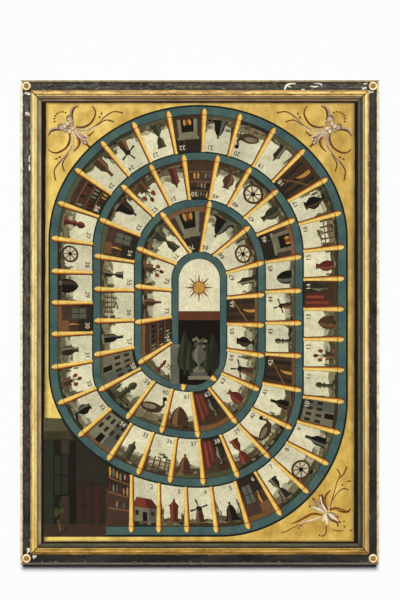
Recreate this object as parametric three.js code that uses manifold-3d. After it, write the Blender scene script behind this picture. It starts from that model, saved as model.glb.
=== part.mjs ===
// Framed race-game board: a painted face on a plank panel, held in a frame of half-lapped ebonised
// members with a gilt bead, a gilt sight moulding, turned corner bosses and a hanging ring behind.
// Millimetres, +Z up. The board lies on its back with the playing face up, its top edge towards
// +Y, and the origin is the centre of its footprint on the table.
import * as THREE from "three";
import { mergeVertices } from "three/addons/utils/BufferGeometryUtils.js";
import Module from "manifold-3d";

const wasm = await Module();
wasm.setup();

// Overall size of the frame
const BOARD_WIDTH = 600;
const BOARD_HEIGHT = 810;

// Clearances
const JOINT_GAP = 0.3; // between pieces that are fitted or glued together
const MITRE_GAP = 0.3; // between two mouldings at a corner
const PIN_CLEARANCE = 0.3; // round a nail, pin, peg or staple leg in its hole
const CUT_OVERSHOOT = 2; // how far a cutting shape runs past the face that it opens
const MERGE_DISTANCE = 1e-4; // corners of one shape that lie closer are the same point

// Back frame: flat members, half-lapped and pegged at the corners
const MEMBER_WIDTH = 21;
const PEG_DIAMETER = 6;
const PEG_INSET = 15.2; // from both outer edges to the middle of a peg
const PEG_COVER = 5; // wood left between a peg and the face of the frame
const PEG_CHAMFER = 0.6;

// Gilt bead planted on the outer edge
const BEAD_WIDTH = 4;
const BEAD_BASE = 0.4; // upright part of the bead under its half round

// Flat ebonised face that shows between the bead and the sight moulding
const FRIEZE_WIDTH = 12.7;

// Sight moulding, in steps from the frieze inwards
const FILLET_WIDTH = 2.4;
const FILLET_RISE = 1.2;
const TORUS_WIDTH = 5.4;
const REED_WIDTH = 3;
const QUIRK_WIDTH = 1.5;
const QUIRK_DROP = 1.2;
const COVE_FILLET_WIDTH = 1;
const COVE_RISE = 1.8; // top of the cove above the moulding's foot
const COVE_WIDTH = 4.2;
const SIGHT_WIDTH = 1.2;
const SIGHT_THICKNESS = 1.3;
const LIP_DROP = 2.4; // lip over the panel, below the face of the back frame

// Plank panel, its painted face and its two dovetailed cross battens
const PANEL_THICKNESS = 10;
const PANEL_PLAY = 0.6; // room for the panel in the rebate, on each edge
const FACE_THICKNESS = 1; // linen, gesso and paint
const PLANK_NAMES = ["left", "middle", "right"];
const BATTEN_OFFSET = 230; // middle of the board to the middle of a batten
const BATTEN_WIDTH = 44;
const BATTEN_RIB = 6; // how far a batten stands behind the panel
const BATTEN_CHAMFER = 2.5;
const BATTEN_END_ROOM = 4; // batten's end to the panel's edge
const DOVETAIL_NECK = 38;
const DOVETAIL_FLARE = 2.5; // how much wider than its neck the tail is, on each side
const DOVETAIL_DEPTH = 4.5;

// Turned corner bosses and the round-headed pins that hold them
const BOSS_DIAMETER = 14.6;
const BOSS_FOOT_DIAMETER = 12;
const BOSS_FOOT_STRAIGHT = 1.5; // upright part of the foot, under its flare
const BOSS_RIM_CLEARANCE = 0.4; // under the rim, over the gilt bead
const BOSS_RIM_HEIGHT = 2.6;
const BOSS_RIM_WIDTH = 3.4;
const BOSS_DISH_DEPTH = 1.6;
const PIN_DIAMETER = 2;
const PIN_HEAD_DIAMETER = 4.6;
const PIN_HEAD_HEIGHT = 1.1;
const PIN_BITE = 9; // length of pin in the frame
const PIN_POINT = 2;

// Cut nails that hold the panel in its rebate
const NAIL_THICKNESS = 1.8;
const NAIL_SHANK_WIDTH = 2.4;
const NAIL_TIP_WIDTH = 1;
const NAIL_BITE = 11; // length of nail in the frame
const NAIL_REACH = 9; // length of nail behind the panel
const NAIL_HEAD_WIDTH = 4.4;
const NAIL_HEAD_LENGTH = 1.4;
const RAIL_NAIL_OFFSET = 150; // from the middle of the top and bottom rails

// Hanging ring and the staple that it swings in
const RING_RADIUS = 12; // to the middle of the wire
const RING_WIRE = 2.2;
const RING_PLAY = 0.4; // all round the wire in the staple's eye
const RING_TABLE_GAP = 0.1; // under the ring as it hangs down to the table
const STAPLE_WIRE = 2.2;
const STAPLE_BITE = 8; // length of each leg in the batten
const STAPLE_TABLE_CLEARANCE = 1.8; // staple's crown to the back of the frame

// Facets of round shapes
const ARC_STEPS = 10; // on each half round of a moulding
const ROUND_STEPS = 28; // round a boss, a peg or a pin
const WIRE_SIDES = 8;
const RING_STEPS = 36;
const STAPLE_STEPS = 30;

// Sizes worked out from the ones above
const RING_AXIS_DROP = RING_WIRE / 2 + RING_PLAY;
const STAPLE_EYE_RADIUS = RING_WIRE / 2 + RING_PLAY + STAPLE_WIRE / 2;
const RING_AXIS_HEIGHT = STAPLE_TABLE_CLEARANCE + STAPLE_WIRE / 2 + STAPLE_EYE_RADIUS;
const BATTEN_BACK = RING_AXIS_HEIGHT + RING_AXIS_DROP;
const PANEL_BACK = BATTEN_BACK + BATTEN_RIB + JOINT_GAP;
const PANEL_FRONT = PANEL_BACK + PANEL_THICKNESS;
const FACE_BACK = PANEL_FRONT + JOINT_GAP;
const LIP_BACK = FACE_BACK + FACE_THICKNESS + JOINT_GAP;
const FRIEZE_HEIGHT = LIP_BACK + LIP_DROP;
const LAP_HEIGHT = FRIEZE_HEIGHT / 2;
const PEG_TOP = FRIEZE_HEIGHT - PEG_COVER;
const PANEL_WIDTH = BOARD_WIDTH - 2 * (MEMBER_WIDTH + PANEL_PLAY);
const PANEL_HEIGHT = BOARD_HEIGHT - 2 * (MEMBER_WIDTH + PANEL_PLAY);
const BOSS_INSET = BEAD_WIDTH + FRIEZE_WIDTH / 2; // middle of the frieze
const BOSS_FOOT_HEIGHT = BEAD_BASE + BEAD_WIDTH / 2 + BOSS_RIM_CLEARANCE;
const BOSS_TOP = BOSS_FOOT_HEIGHT + BOSS_RIM_HEIGHT;
const BOSS_DISH = BOSS_TOP - BOSS_DISH_DEPTH;

const ebonised = new THREE.MeshStandardMaterial({ color: 0x23282a, roughness: 0.5 });
const gilding = new THREE.MeshStandardMaterial({ color: 0xd9b765, roughness: 0.4, metalness: 0.6 });
const goldGround = new THREE.MeshStandardMaterial({ color: 0xd6ae4a, roughness: 0.5 });
const poplar = new THREE.MeshStandardMaterial({ color: 0x8f6b46, roughness: 0.8 });
const walnut = new THREE.MeshStandardMaterial({ color: 0x5a3d26, roughness: 0.7 });
const agedBrass = new THREE.MeshStandardMaterial({ color: 0x7d6530, roughness: 0.5, metalness: 0.7 });
const iron = new THREE.MeshStandardMaterial({ color: 0x3a3734, roughness: 0.7, metalness: 0.8 });

// The four sides: a side's own frame has its outer edge on the X axis and its inside towards -Y.
const SIDES = [
  { name: "top", member: "rail", length: BOARD_WIDTH, turn: 0, x: 0, y: BOARD_HEIGHT / 2 },
  { name: "left", member: "stile", length: BOARD_HEIGHT, turn: Math.PI / 2, x: -BOARD_WIDTH / 2, y: 0 },
  { name: "bottom", member: "rail", length: BOARD_WIDTH, turn: Math.PI, x: 0, y: -BOARD_HEIGHT / 2 },
  { name: "right", member: "stile", length: BOARD_HEIGHT, turn: -Math.PI / 2, x: BOARD_WIDTH / 2, y: 0 },
];

// The four corners: a corner's own frame has its point at the origin and its inside towards -X, -Y.
const CORNERS = [
  { name: "top_right", turn: 0, x: BOARD_WIDTH / 2, y: BOARD_HEIGHT / 2 },
  { name: "top_left", turn: Math.PI / 2, x: -BOARD_WIDTH / 2, y: BOARD_HEIGHT / 2 },
  { name: "bottom_left", turn: Math.PI, x: -BOARD_WIDTH / 2, y: -BOARD_HEIGHT / 2 },
  { name: "bottom_right", turn: -Math.PI / 2, x: BOARD_WIDTH / 2, y: -BOARD_HEIGHT / 2 },
];

// Turns a section drawn in (y, z) and extruded along its own Z into a bar that runs along X.
const ALONG_X = new THREE.Matrix4().makeBasis(
  new THREE.Vector3(0, 1, 0),
  new THREE.Vector3(0, 0, 1),
  new THREE.Vector3(1, 0, 0),
);

// Turns an outline drawn in (x, z) and extruded along its own Z into a slab that runs towards -Y.
const INWARDS = new THREE.Matrix4().makeBasis(
  new THREE.Vector3(1, 0, 0),
  new THREE.Vector3(0, 0, 1),
  new THREE.Vector3(0, -1, 0),
);

// Booleans

function solidOf(geometry) {
  const bare = geometry.clone();
  bare.deleteAttribute("normal");
  bare.deleteAttribute("uv");
  const merged = mergeVertices(bare, MERGE_DISTANCE);
  return new wasm.Manifold(
    new wasm.Mesh({
      numProp: 3,
      vertProperties: merged.getAttribute("position").array,
      triVerts: new Uint32Array(merged.index.array),
    }),
  );
}

function cut(geometry, tools) {
  let solid = solidOf(geometry);
  for (const tool of tools) solid = solid.subtract(solidOf(tool));
  const mesh = solid.getMesh();
  const result = new THREE.BufferGeometry();
  result.setAttribute("position", new THREE.BufferAttribute(mesh.vertProperties, 3));
  result.setIndex(new THREE.BufferAttribute(mesh.triVerts, 1));
  result.computeVertexNormals();
  return result;
}

// Shared shapes

function polygon(points) {
  return new THREE.Shape(points.map(([x, y]) => new THREE.Vector2(x, y)));
}

function plate(points, low, thickness) {
  const options = { depth: thickness, bevelEnabled: false };
  return new THREE.ExtrudeGeometry(polygon(points), options).translate(0, 0, low);
}

function barAlongX(section, length) {
  const options = { depth: length, bevelEnabled: false };
  return new THREE.ExtrudeGeometry(section, options)
    .translate(0, 0, -length / 2)
    .applyMatrix4(ALONG_X);
}

// A moulding whose section (distance in from the outer edge, height) is mitred at both ends.
function mitredMoulding(section, length) {
  const options = { depth: 1, bevelEnabled: false, curveSegments: ARC_STEPS };
  const geometry = new THREE.ExtrudeGeometry(section, options);
  const position = geometry.getAttribute("position");
  for (let i = 0; i < position.count; i++) {
    const inward = position.getX(i);
    const height = position.getY(i);
    const end = position.getZ(i) > 0 ? -1 : 1;
    const reach = length / 2 - inward - MITRE_GAP * Math.SQRT1_2;
    position.setXYZ(i, end * reach, -inward, height);
  }
  return geometry;
}

function turned(profile) {
  const points = profile.map(([radius, height]) => new THREE.Vector2(radius, height));
  return new THREE.LatheGeometry(points, ROUND_STEPS).rotateX(Math.PI / 2);
}

function roundHole(x, y, diameter, low, high) {
  return new THREE.CylinderGeometry(diameter / 2, diameter / 2, high - low, ROUND_STEPS)
    .rotateX(Math.PI / 2)
    .translate(x, y, (low + high) / 2);
}

function piece(name, geometry, material) {
  const mesh = new THREE.Mesh(geometry, material);
  mesh.name = name;
  return mesh;
}

// Back frame

// Side view of a member: the rails keep their front half at the corners, the stiles their back half.
function memberOutline(side) {
  const end = side.length / 2;
  const shoulder = end - MEMBER_WIDTH - JOINT_GAP;
  const isRail = side.member === "rail";
  const lap = LAP_HEIGHT + (isRail ? JOINT_GAP / 2 : -JOINT_GAP / 2);
  const long = isRail ? FRIEZE_HEIGHT : 0;
  const short = FRIEZE_HEIGHT - long;
  return polygon([
    [-end, long],
    [-end, lap],
    [-shoulder, lap],
    [-shoulder, short],
    [shoulder, short],
    [shoulder, lap],
    [end, lap],
    [end, long],
  ]);
}

function pegHole(length, end) {
  const diameter = PEG_DIAMETER + 2 * PIN_CLEARANCE;
  const x = end * (length / 2 - PEG_INSET);
  return roundHole(x, -PEG_INSET, diameter, -CUT_OVERSHOOT, PEG_TOP + PIN_CLEARANCE);
}

function bossPinHole(length, end) {
  const low = FRIEZE_HEIGHT - PIN_BITE - PIN_CLEARANCE;
  const diameter = PIN_DIAMETER + 2 * PIN_CLEARANCE;
  const x = end * (length / 2 - BOSS_INSET);
  return roundHole(x, -BOSS_INSET, diameter, low, FRIEZE_HEIGHT + CUT_OVERSHOOT);
}

function frameMember(side) {
  const options = { depth: MEMBER_WIDTH, bevelEnabled: false };
  const bar = new THREE.ExtrudeGeometry(memberOutline(side), options).applyMatrix4(INWARDS);
  const holes = nailPlaces(side).map(nailHole);
  for (const end of [-1, 1]) {
    holes.push(pegHole(side.length, end), bossPinHole(side.length, end));
  }
  return piece(`${side.member}_${side.name}`, cut(bar, holes), ebonised);
}

// A chamfered wooden peg, driven from the back through both halves of the lap.
function cornerPeg(corner) {
  const radius = PEG_DIAMETER / 2;
  const profile = [
    [0, 0],
    [radius - PEG_CHAMFER, 0],
    [radius, PEG_CHAMFER],
    [radius, PEG_TOP - PEG_CHAMFER],
    [radius - PEG_CHAMFER, PEG_TOP],
    [0, PEG_TOP],
  ];
  const mesh = piece(`corner_peg_${corner.name}`, turned(profile), walnut);
  mesh.position.set(-PEG_INSET, -PEG_INSET, 0);
  return mesh;
}

// Planted mouldings

function beadSection() {
  const foot = FRIEZE_HEIGHT + JOINT_GAP;
  const spring = foot + BEAD_BASE;
  const section = new THREE.Shape();
  section.moveTo(0, foot);
  section.lineTo(BEAD_WIDTH, foot);
  section.lineTo(BEAD_WIDTH, spring);
  section.absarc(BEAD_WIDTH / 2, spring, BEAD_WIDTH / 2, 0, Math.PI, false);
  return section;
}

function outerBead(side) {
  return piece(`outer_bead_${side.name}`, mitredMoulding(beadSection(), side.length), gilding);
}

// A foot on the frieze and a lip over the panel, with fillet, torus, reed, quirk, cove and sight edge.
function sightSection() {
  const filletEdge = BEAD_WIDTH + FRIEZE_WIDTH;
  const torusEdge = filletEdge + FILLET_WIDTH;
  const reedEdge = torusEdge + TORUS_WIDTH;
  const quirkEdge = reedEdge + REED_WIDTH;
  const coveFilletEdge = quirkEdge + QUIRK_WIDTH;
  const coveEdge = coveFilletEdge + COVE_FILLET_WIDTH;
  const sightEdge = coveEdge + COVE_WIDTH;
  const innerEdge = sightEdge + SIGHT_WIDTH;
  const shoulder = MEMBER_WIDTH + JOINT_GAP;
  const foot = FRIEZE_HEIGHT + JOINT_GAP;
  const filletTop = foot + FILLET_RISE;
  const coveTop = foot + COVE_RISE;
  const quirkFloor = coveTop - QUIRK_DROP;
  const sightTop = LIP_BACK + SIGHT_THICKNESS;
  const section = new THREE.Shape();
  section.moveTo(filletEdge, foot);
  section.lineTo(shoulder, foot);
  section.lineTo(shoulder, LIP_BACK);
  section.lineTo(innerEdge, LIP_BACK);
  section.lineTo(innerEdge, sightTop);
  section.lineTo(sightEdge, sightTop);
  section.quadraticCurveTo(coveEdge, sightTop, coveEdge, coveTop);
  section.lineTo(coveFilletEdge, coveTop);
  section.lineTo(coveFilletEdge, quirkFloor);
  section.lineTo(quirkEdge, quirkFloor);
  section.absarc(reedEdge + REED_WIDTH / 2, quirkFloor, REED_WIDTH / 2, 0, Math.PI, false);
  section.lineTo(reedEdge, filletTop);
  section.absarc(torusEdge + TORUS_WIDTH / 2, filletTop, TORUS_WIDTH / 2, 0, Math.PI, false);
  section.lineTo(filletEdge, filletTop);
  return section;
}

function sightMoulding(side) {
  return piece(`sight_moulding_${side.name}`, mitredMoulding(sightSection(), side.length), gilding);
}

// Panel nails

// Nails stand clear of the battens' ends: on the stiles, in the middle and beyond each batten.
function nailPlaces(side) {
  if (side.member === "rail") return [-RAIL_NAIL_OFFSET, RAIL_NAIL_OFFSET];
  const beyondBatten = (BATTEN_OFFSET + BATTEN_WIDTH / 2 + PANEL_HEIGHT / 2) / 2;
  return [-beyondBatten, 0, beyondBatten];
}

// A cut nail: a flat tapered shank with a square head, lying against the back of the panel.
function panelNail(side, x, index) {
  const tip = -(MEMBER_WIDTH - NAIL_BITE);
  const neck = -(MEMBER_WIDTH + NAIL_REACH - NAIL_HEAD_LENGTH);
  const points = [
    [x - NAIL_TIP_WIDTH / 2, tip],
    [x - NAIL_SHANK_WIDTH / 2, neck],
    [x - NAIL_HEAD_WIDTH / 2, neck],
    [x - NAIL_HEAD_WIDTH / 2, neck - NAIL_HEAD_LENGTH],
    [x + NAIL_HEAD_WIDTH / 2, neck - NAIL_HEAD_LENGTH],
    [x + NAIL_HEAD_WIDTH / 2, neck],
    [x + NAIL_SHANK_WIDTH / 2, neck],
    [x + NAIL_TIP_WIDTH / 2, tip],
  ];
  const low = PANEL_BACK - JOINT_GAP - NAIL_THICKNESS;
  return piece(`panel_nail_${side.name}_${index + 1}`, plate(points, low, NAIL_THICKNESS), iron);
}

function nailHole(x) {
  const tip = -(MEMBER_WIDTH - NAIL_BITE - PIN_CLEARANCE);
  const mouth = -(MEMBER_WIDTH + NAIL_REACH);
  const tipHalf = NAIL_TIP_WIDTH / 2 + PIN_CLEARANCE;
  const mouthHalf = NAIL_SHANK_WIDTH / 2 + PIN_CLEARANCE;
  const points = [
    [x - tipHalf, tip],
    [x - mouthHalf, mouth],
    [x + mouthHalf, mouth],
    [x + tipHalf, tip],
  ];
  const low = PANEL_BACK - JOINT_GAP - NAIL_THICKNESS - PIN_CLEARANCE;
  return plate(points, low, NAIL_THICKNESS + 2 * PIN_CLEARANCE);
}

// Panel

// The long section of a plank: a flat front, two dovetail housings across the back.
function plankSection() {
  const neck = DOVETAIL_NECK / 2 + JOINT_GAP;
  const tail = neck + DOVETAIL_FLARE;
  const floor = PANEL_BACK + DOVETAIL_DEPTH + JOINT_GAP;
  const points = [[-PANEL_HEIGHT / 2, PANEL_BACK]];
  for (const middle of [-BATTEN_OFFSET, BATTEN_OFFSET]) {
    points.push([middle - neck, PANEL_BACK], [middle - tail, floor]);
    points.push([middle + tail, floor], [middle + neck, PANEL_BACK]);
  }
  points.push([PANEL_HEIGHT / 2, PANEL_BACK]);
  points.push([PANEL_HEIGHT / 2, PANEL_FRONT], [-PANEL_HEIGHT / 2, PANEL_FRONT]);
  return polygon(points);
}

function plank(name, index) {
  const count = PLANK_NAMES.length;
  const width = (PANEL_WIDTH - (count - 1) * JOINT_GAP) / count;
  const mesh = piece(`panel_plank_${name}`, barAlongX(plankSection(), width), poplar);
  mesh.position.x = (index - (count - 1) / 2) * (width + JOINT_GAP);
  return mesh;
}

function playingFace() {
  const x = PANEL_WIDTH / 2;
  const y = PANEL_HEIGHT / 2;
  const corners = [
    [-x, -y],
    [x, -y],
    [x, y],
    [-x, y],
  ];
  return piece("playing_face", plate(corners, FACE_BACK, FACE_THICKNESS), goldGround);
}

// Cross battens

// A chamfered rib behind the panel with a dovetail tail that slides into the planks.
function battenSection() {
  const half = BATTEN_WIDTH / 2;
  const shoulder = BATTEN_BACK + BATTEN_RIB;
  const neck = DOVETAIL_NECK / 2;
  const tailTop = PANEL_BACK + DOVETAIL_DEPTH;
  return polygon([
    [-half + BATTEN_CHAMFER, BATTEN_BACK],
    [half - BATTEN_CHAMFER, BATTEN_BACK],
    [half, BATTEN_BACK + BATTEN_CHAMFER],
    [half, shoulder],
    [neck, shoulder],
    [neck, PANEL_BACK],
    [neck + DOVETAIL_FLARE, tailTop],
    [-neck - DOVETAIL_FLARE, tailTop],
    [-neck, PANEL_BACK],
    [-neck, shoulder],
    [-half, shoulder],
    [-half, BATTEN_BACK + BATTEN_CHAMFER],
  ]);
}

function stapleHole(y) {
  const diameter = STAPLE_WIRE + 2 * PIN_CLEARANCE;
  const high = BATTEN_BACK + STAPLE_BITE + PIN_CLEARANCE;
  return roundHole(0, y, diameter, BATTEN_BACK - CUT_OVERSHOOT, high);
}

function crossBatten(name, offset, holes) {
  const bar = barAlongX(battenSection(), PANEL_WIDTH - 2 * BATTEN_END_ROOM);
  const mesh = piece(`cross_batten_${name}`, cut(bar, holes), poplar);
  mesh.position.y = offset;
  return mesh;
}

// Corner bosses and pins

// A turned button: a flared foot on the frieze, an overhanging rounded rim and a dished middle.
function cornerBoss(corner) {
  const hole = PIN_DIAMETER / 2 + PIN_CLEARANCE;
  const foot = BOSS_FOOT_DIAMETER / 2;
  const rim = BOSS_DIAMETER / 2;
  const crown = rim - BOSS_RIM_WIDTH / 2;
  const rimMiddle = BOSS_FOOT_HEIGHT + BOSS_RIM_HEIGHT / 2;
  const profile = [
    [hole, 0],
    [foot, 0],
    [foot, BOSS_FOOT_STRAIGHT],
    [rim, BOSS_FOOT_HEIGHT],
  ];
  for (let i = 0; i <= ARC_STEPS; i++) {
    const angle = (Math.PI * i) / ARC_STEPS;
    const inside = angle > Math.PI / 2;
    const low = inside ? BOSS_DISH : rimMiddle;
    const height = low + (BOSS_TOP - low) * Math.sin(angle);
    profile.push([crown + (BOSS_RIM_WIDTH / 2) * Math.cos(angle), height]);
  }
  profile.push([hole, BOSS_DISH], [hole, 0]);
  const mesh = piece(`corner_boss_${corner.name}`, turned(profile), gilding);
  mesh.position.set(-BOSS_INSET, -BOSS_INSET, FRIEZE_HEIGHT + JOINT_GAP);
  return mesh;
}

// A domed pin that passes down through the boss into the frame.
function bossPin(corner) {
  const shank = PIN_DIAMETER / 2;
  const head = PIN_HEAD_DIAMETER / 2;
  const seat = BOSS_DISH + 2 * JOINT_GAP;
  const profile = [
    [0, -PIN_BITE],
    [shank, -PIN_BITE + PIN_POINT],
    [shank, seat],
  ];
  const steps = ARC_STEPS / 2;
  for (let i = 0; i < steps; i++) {
    const angle = (Math.PI / 2) * (i / steps);
    profile.push([head * Math.cos(angle), seat + PIN_HEAD_HEIGHT * Math.sin(angle)]);
  }
  profile.push([0, seat + PIN_HEAD_HEIGHT]);
  const mesh = piece(`boss_pin_${corner.name}`, turned(profile), agedBrass);
  mesh.position.set(-BOSS_INSET, -BOSS_INSET, FRIEZE_HEIGHT);
  return mesh;
}

// Hanging ring and staple

class StapleLine extends THREE.Curve {
  // Down one leg, round the eye and up the other leg, in the plane x = 0.
  getPoint(share, target = new THREE.Vector3()) {
    const leg = STAPLE_BITE + RING_AXIS_DROP;
    const bend = Math.PI * STAPLE_EYE_RADIUS;
    const run = share * (2 * leg + bend);
    if (run < leg) return target.set(0, -STAPLE_EYE_RADIUS, leg - run);
    if (run > leg + bend) return target.set(0, STAPLE_EYE_RADIUS, run - leg - bend);
    const angle = (run - leg) / STAPLE_EYE_RADIUS;
    const y = -STAPLE_EYE_RADIUS * Math.cos(angle);
    return target.set(0, y, -STAPLE_EYE_RADIUS * Math.sin(angle));
  }
}

function hangingStaple() {
  const corners = [];
  for (let i = 0; i < WIRE_SIDES; i++) {
    const angle = (2 * Math.PI * i) / WIRE_SIDES;
    corners.push([(STAPLE_WIRE / 2) * Math.cos(angle), (STAPLE_WIRE / 2) * Math.sin(angle)]);
  }
  const options = { steps: STAPLE_STEPS, extrudePath: new StapleLine() };
  return piece("hanging_staple", new THREE.ExtrudeGeometry(polygon(corners), options), iron);
}

// The ring hangs from the eye until its far side meets the table.
function hangingRing() {
  const fall = RING_AXIS_HEIGHT - RING_WIRE / 2 - RING_TABLE_GAP;
  const geometry = new THREE.TorusGeometry(RING_RADIUS, RING_WIRE / 2, WIRE_SIDES, RING_STEPS);
  const swing = new THREE.Group();
  swing.rotation.x = -Math.asin(fall / (2 * RING_RADIUS));
  const mesh = piece("hanging_ring", geometry, iron);
  mesh.position.y = RING_RADIUS;
  swing.add(mesh);
  return swing;
}

// Assembly

const board = new THREE.Group();

for (const side of SIDES) {
  const group = new THREE.Group();
  group.position.set(side.x, side.y, 0);
  group.rotation.z = side.turn;
  group.add(frameMember(side), outerBead(side), sightMoulding(side));
  nailPlaces(side).forEach((x, index) => group.add(panelNail(side, x, index)));
  board.add(group);
}

for (const corner of CORNERS) {
  const group = new THREE.Group();
  group.position.set(corner.x, corner.y, 0);
  group.rotation.z = corner.turn;
  group.add(cornerPeg(corner), cornerBoss(corner), bossPin(corner));
  board.add(group);
}

PLANK_NAMES.forEach((name, index) => board.add(plank(name, index)));
board.add(playingFace());

const stapleHoles = [-1, 1].map((leg) => stapleHole(leg * STAPLE_EYE_RADIUS));
board.add(crossBatten("lower", -BATTEN_OFFSET, []));
board.add(crossBatten("upper", BATTEN_OFFSET, stapleHoles));

const hanger = new THREE.Group();
hanger.position.set(0, BATTEN_OFFSET, RING_AXIS_HEIGHT);
hanger.add(hangingStaple(), hangingRing());
board.add(hanger);

export default board;
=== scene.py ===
"""Looks of the framed race-game board: camera, light, finishes and the painted playing face.

The board lies face up. The painting is laid out in millimetres on its face, x to the right and y to the
board's top, and is built as thin closed patches of paint that stand on the playing face.
"""
import copy
import math
import random

import bmesh
import bpy
import numpy as np
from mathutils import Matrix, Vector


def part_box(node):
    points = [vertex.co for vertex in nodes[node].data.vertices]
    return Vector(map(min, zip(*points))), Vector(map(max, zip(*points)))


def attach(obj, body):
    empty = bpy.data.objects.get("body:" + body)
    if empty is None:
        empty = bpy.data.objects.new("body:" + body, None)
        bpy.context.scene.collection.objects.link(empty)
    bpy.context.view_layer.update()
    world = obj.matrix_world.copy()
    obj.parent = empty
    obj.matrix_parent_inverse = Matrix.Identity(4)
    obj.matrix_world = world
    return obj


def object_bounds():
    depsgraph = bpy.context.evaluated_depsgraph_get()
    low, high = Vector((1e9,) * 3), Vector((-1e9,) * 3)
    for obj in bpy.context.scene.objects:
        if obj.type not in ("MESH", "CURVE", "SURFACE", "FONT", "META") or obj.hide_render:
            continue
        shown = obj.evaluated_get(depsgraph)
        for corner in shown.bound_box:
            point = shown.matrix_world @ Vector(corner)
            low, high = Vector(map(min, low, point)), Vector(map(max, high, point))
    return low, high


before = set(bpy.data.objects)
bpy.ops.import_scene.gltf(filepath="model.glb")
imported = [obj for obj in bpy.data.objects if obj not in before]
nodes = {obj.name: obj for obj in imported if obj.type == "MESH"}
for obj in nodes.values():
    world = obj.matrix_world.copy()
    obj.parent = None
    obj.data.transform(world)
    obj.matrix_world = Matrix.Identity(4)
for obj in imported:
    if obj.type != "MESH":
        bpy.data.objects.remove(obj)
cad_low, cad_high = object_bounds()

# Sizes taken from the frame, in millimetres

MM = 0.001
BODY = "board"
BOARD_X = cad_high.x / MM
BOARD_Y = cad_high.y / MM
FACE_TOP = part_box("playing_face")[1].z / MM
FRIEZE_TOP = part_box("rail_top")[1].z / MM
SIGHT_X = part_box("sight_moulding_right")[0].x / MM
SIGHT_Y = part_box("sight_moulding_top")[0].y / MM


# Colours


def rgb(red, green, blue):
    """A colour written in sRGB levels from 0 to 255, as linear light."""
    levels = [level / 255 for level in (red, green, blue)]
    return tuple(v / 12.92 if v < 0.04 else ((v + 0.055) / 1.055) ** 2.4 for v in levels) + (1.0,)


def shade(tint, amount):
    """The same colour, darker below 1 and lighter above."""
    return tuple(min(level * amount, 1.0) for level in tint[:3]) + (1.0,)


def between(first, second, part):
    """A colour part of the way from the first to the second."""
    return tuple(a + (b - a) * part for a, b in zip(first, second))


GOLD = rgb(224, 186, 86)
GOLD_LIGHT = rgb(248, 214, 112)
GOLD_DEEP = rgb(186, 142, 58)
BAND_BLUE = rgb(62, 88, 93)
BAND_GREEN = rgb(78, 102, 99)
OUTLINE = rgb(18, 24, 20)
IVORY = rgb(231, 226, 196)
BATON_LIGHT = rgb(238, 206, 118)
BATON_MID = rgb(222, 168, 76)
BATON_SHADE = rgb(160, 86, 30)
INK = rgb(20, 16, 12)
DUSK = rgb(42, 36, 29)
UMBER = rgb(66, 47, 33)
SIENNA = rgb(114, 80, 52)
OLIVE = rgb(80, 78, 56)
MOSS = rgb(48, 50, 36)
SAGE = rgb(124, 122, 96)
HAZE = rgb(170, 166, 140)
STONE = rgb(118, 112, 94)
SLATE = rgb(86, 88, 80)
WINE = rgb(84, 40, 32)
BRICK = rgb(122, 62, 46)
ROSE = rgb(172, 112, 84)
CREAM = rgb(228, 216, 190)
OCHRE = rgb(184, 136, 68)
PETAL = rgb(228, 210, 190)
LILAC = rgb(182, 158, 142)
LEAF_BROWN = rgb(98, 60, 36)
GESSO = rgb(248, 245, 236)
EARTHS = (rgb(104, 98, 76), rgb(88, 82, 62), rgb(124, 114, 88), rgb(76, 64, 46))
VARNISH = (1.0, 0.99, 0.9, 1.0)
NO_TINT = (1.0, 1.0, 1.0, 1.0)


# Node materials


class Value:
    """A number or colour that nodes work out, with short calls for what is made from it."""

    def __init__(self, graph, socket):
        self.graph = graph
        self.socket = socket

    def math(self, how, other=0.0):
        return self.graph.node("Math", {0: self, 1: other}, operation=how)

    def __add__(self, other):
        return self.math("ADD", other)

    def __sub__(self, other):
        return self.math("SUBTRACT", other)

    def __rsub__(self, other):
        return self.graph.node("Math", {0: other, 1: self}, operation="SUBTRACT")

    def __mul__(self, other):
        return self.math("MULTIPLY", other)

    def __abs__(self):
        return self.math("ABSOLUTE")

    def most(self, other):
        return self.math("MAXIMUM", other)

    def fade(self, start, end, high=1.0, low=0.0):
        """Goes from low to high while this value goes from start to end, and stays there."""
        return self.graph.node("MapRange", dict(enumerate((self, start, end, low, high))))

    def under(self, *coats, how="MIX"):
        """This colour under coats, each given by its tint and the part of 1 by which it covers."""
        tone = self
        for tint, cover in coats:
            tone = self.graph.mix(tone, tint, cover, how)
        return tone


class Graph:
    """The nodes of a material or of the world."""

    def __init__(self, tree):
        self.tree = tree

    def put(self, socket, value):
        """Links the socket to a worked-out value, or sets its own."""
        if isinstance(value, Value):
            self.tree.links.new(value.socket, socket)
        else:
            socket.default_value = value

    def node(self, kind, inputs, output=0, **settings):
        """A new node with its settings and inputs; gives the value of one output."""
        made = self.tree.nodes.new("ShaderNode" + kind)
        for name, setting in settings.items():
            setattr(made, name, setting)
        for key, value in inputs.items():
            self.put(made.inputs[key], value)
        return Value(self, made.outputs[output])

    def mix(self, first, second, part, how="MIX"):
        """A colour part of the way from the first to the second."""
        return self.node("Mix", {0: part, 6: first, 7: second}, 2, data_type="RGBA", blend_type=how)


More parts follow.
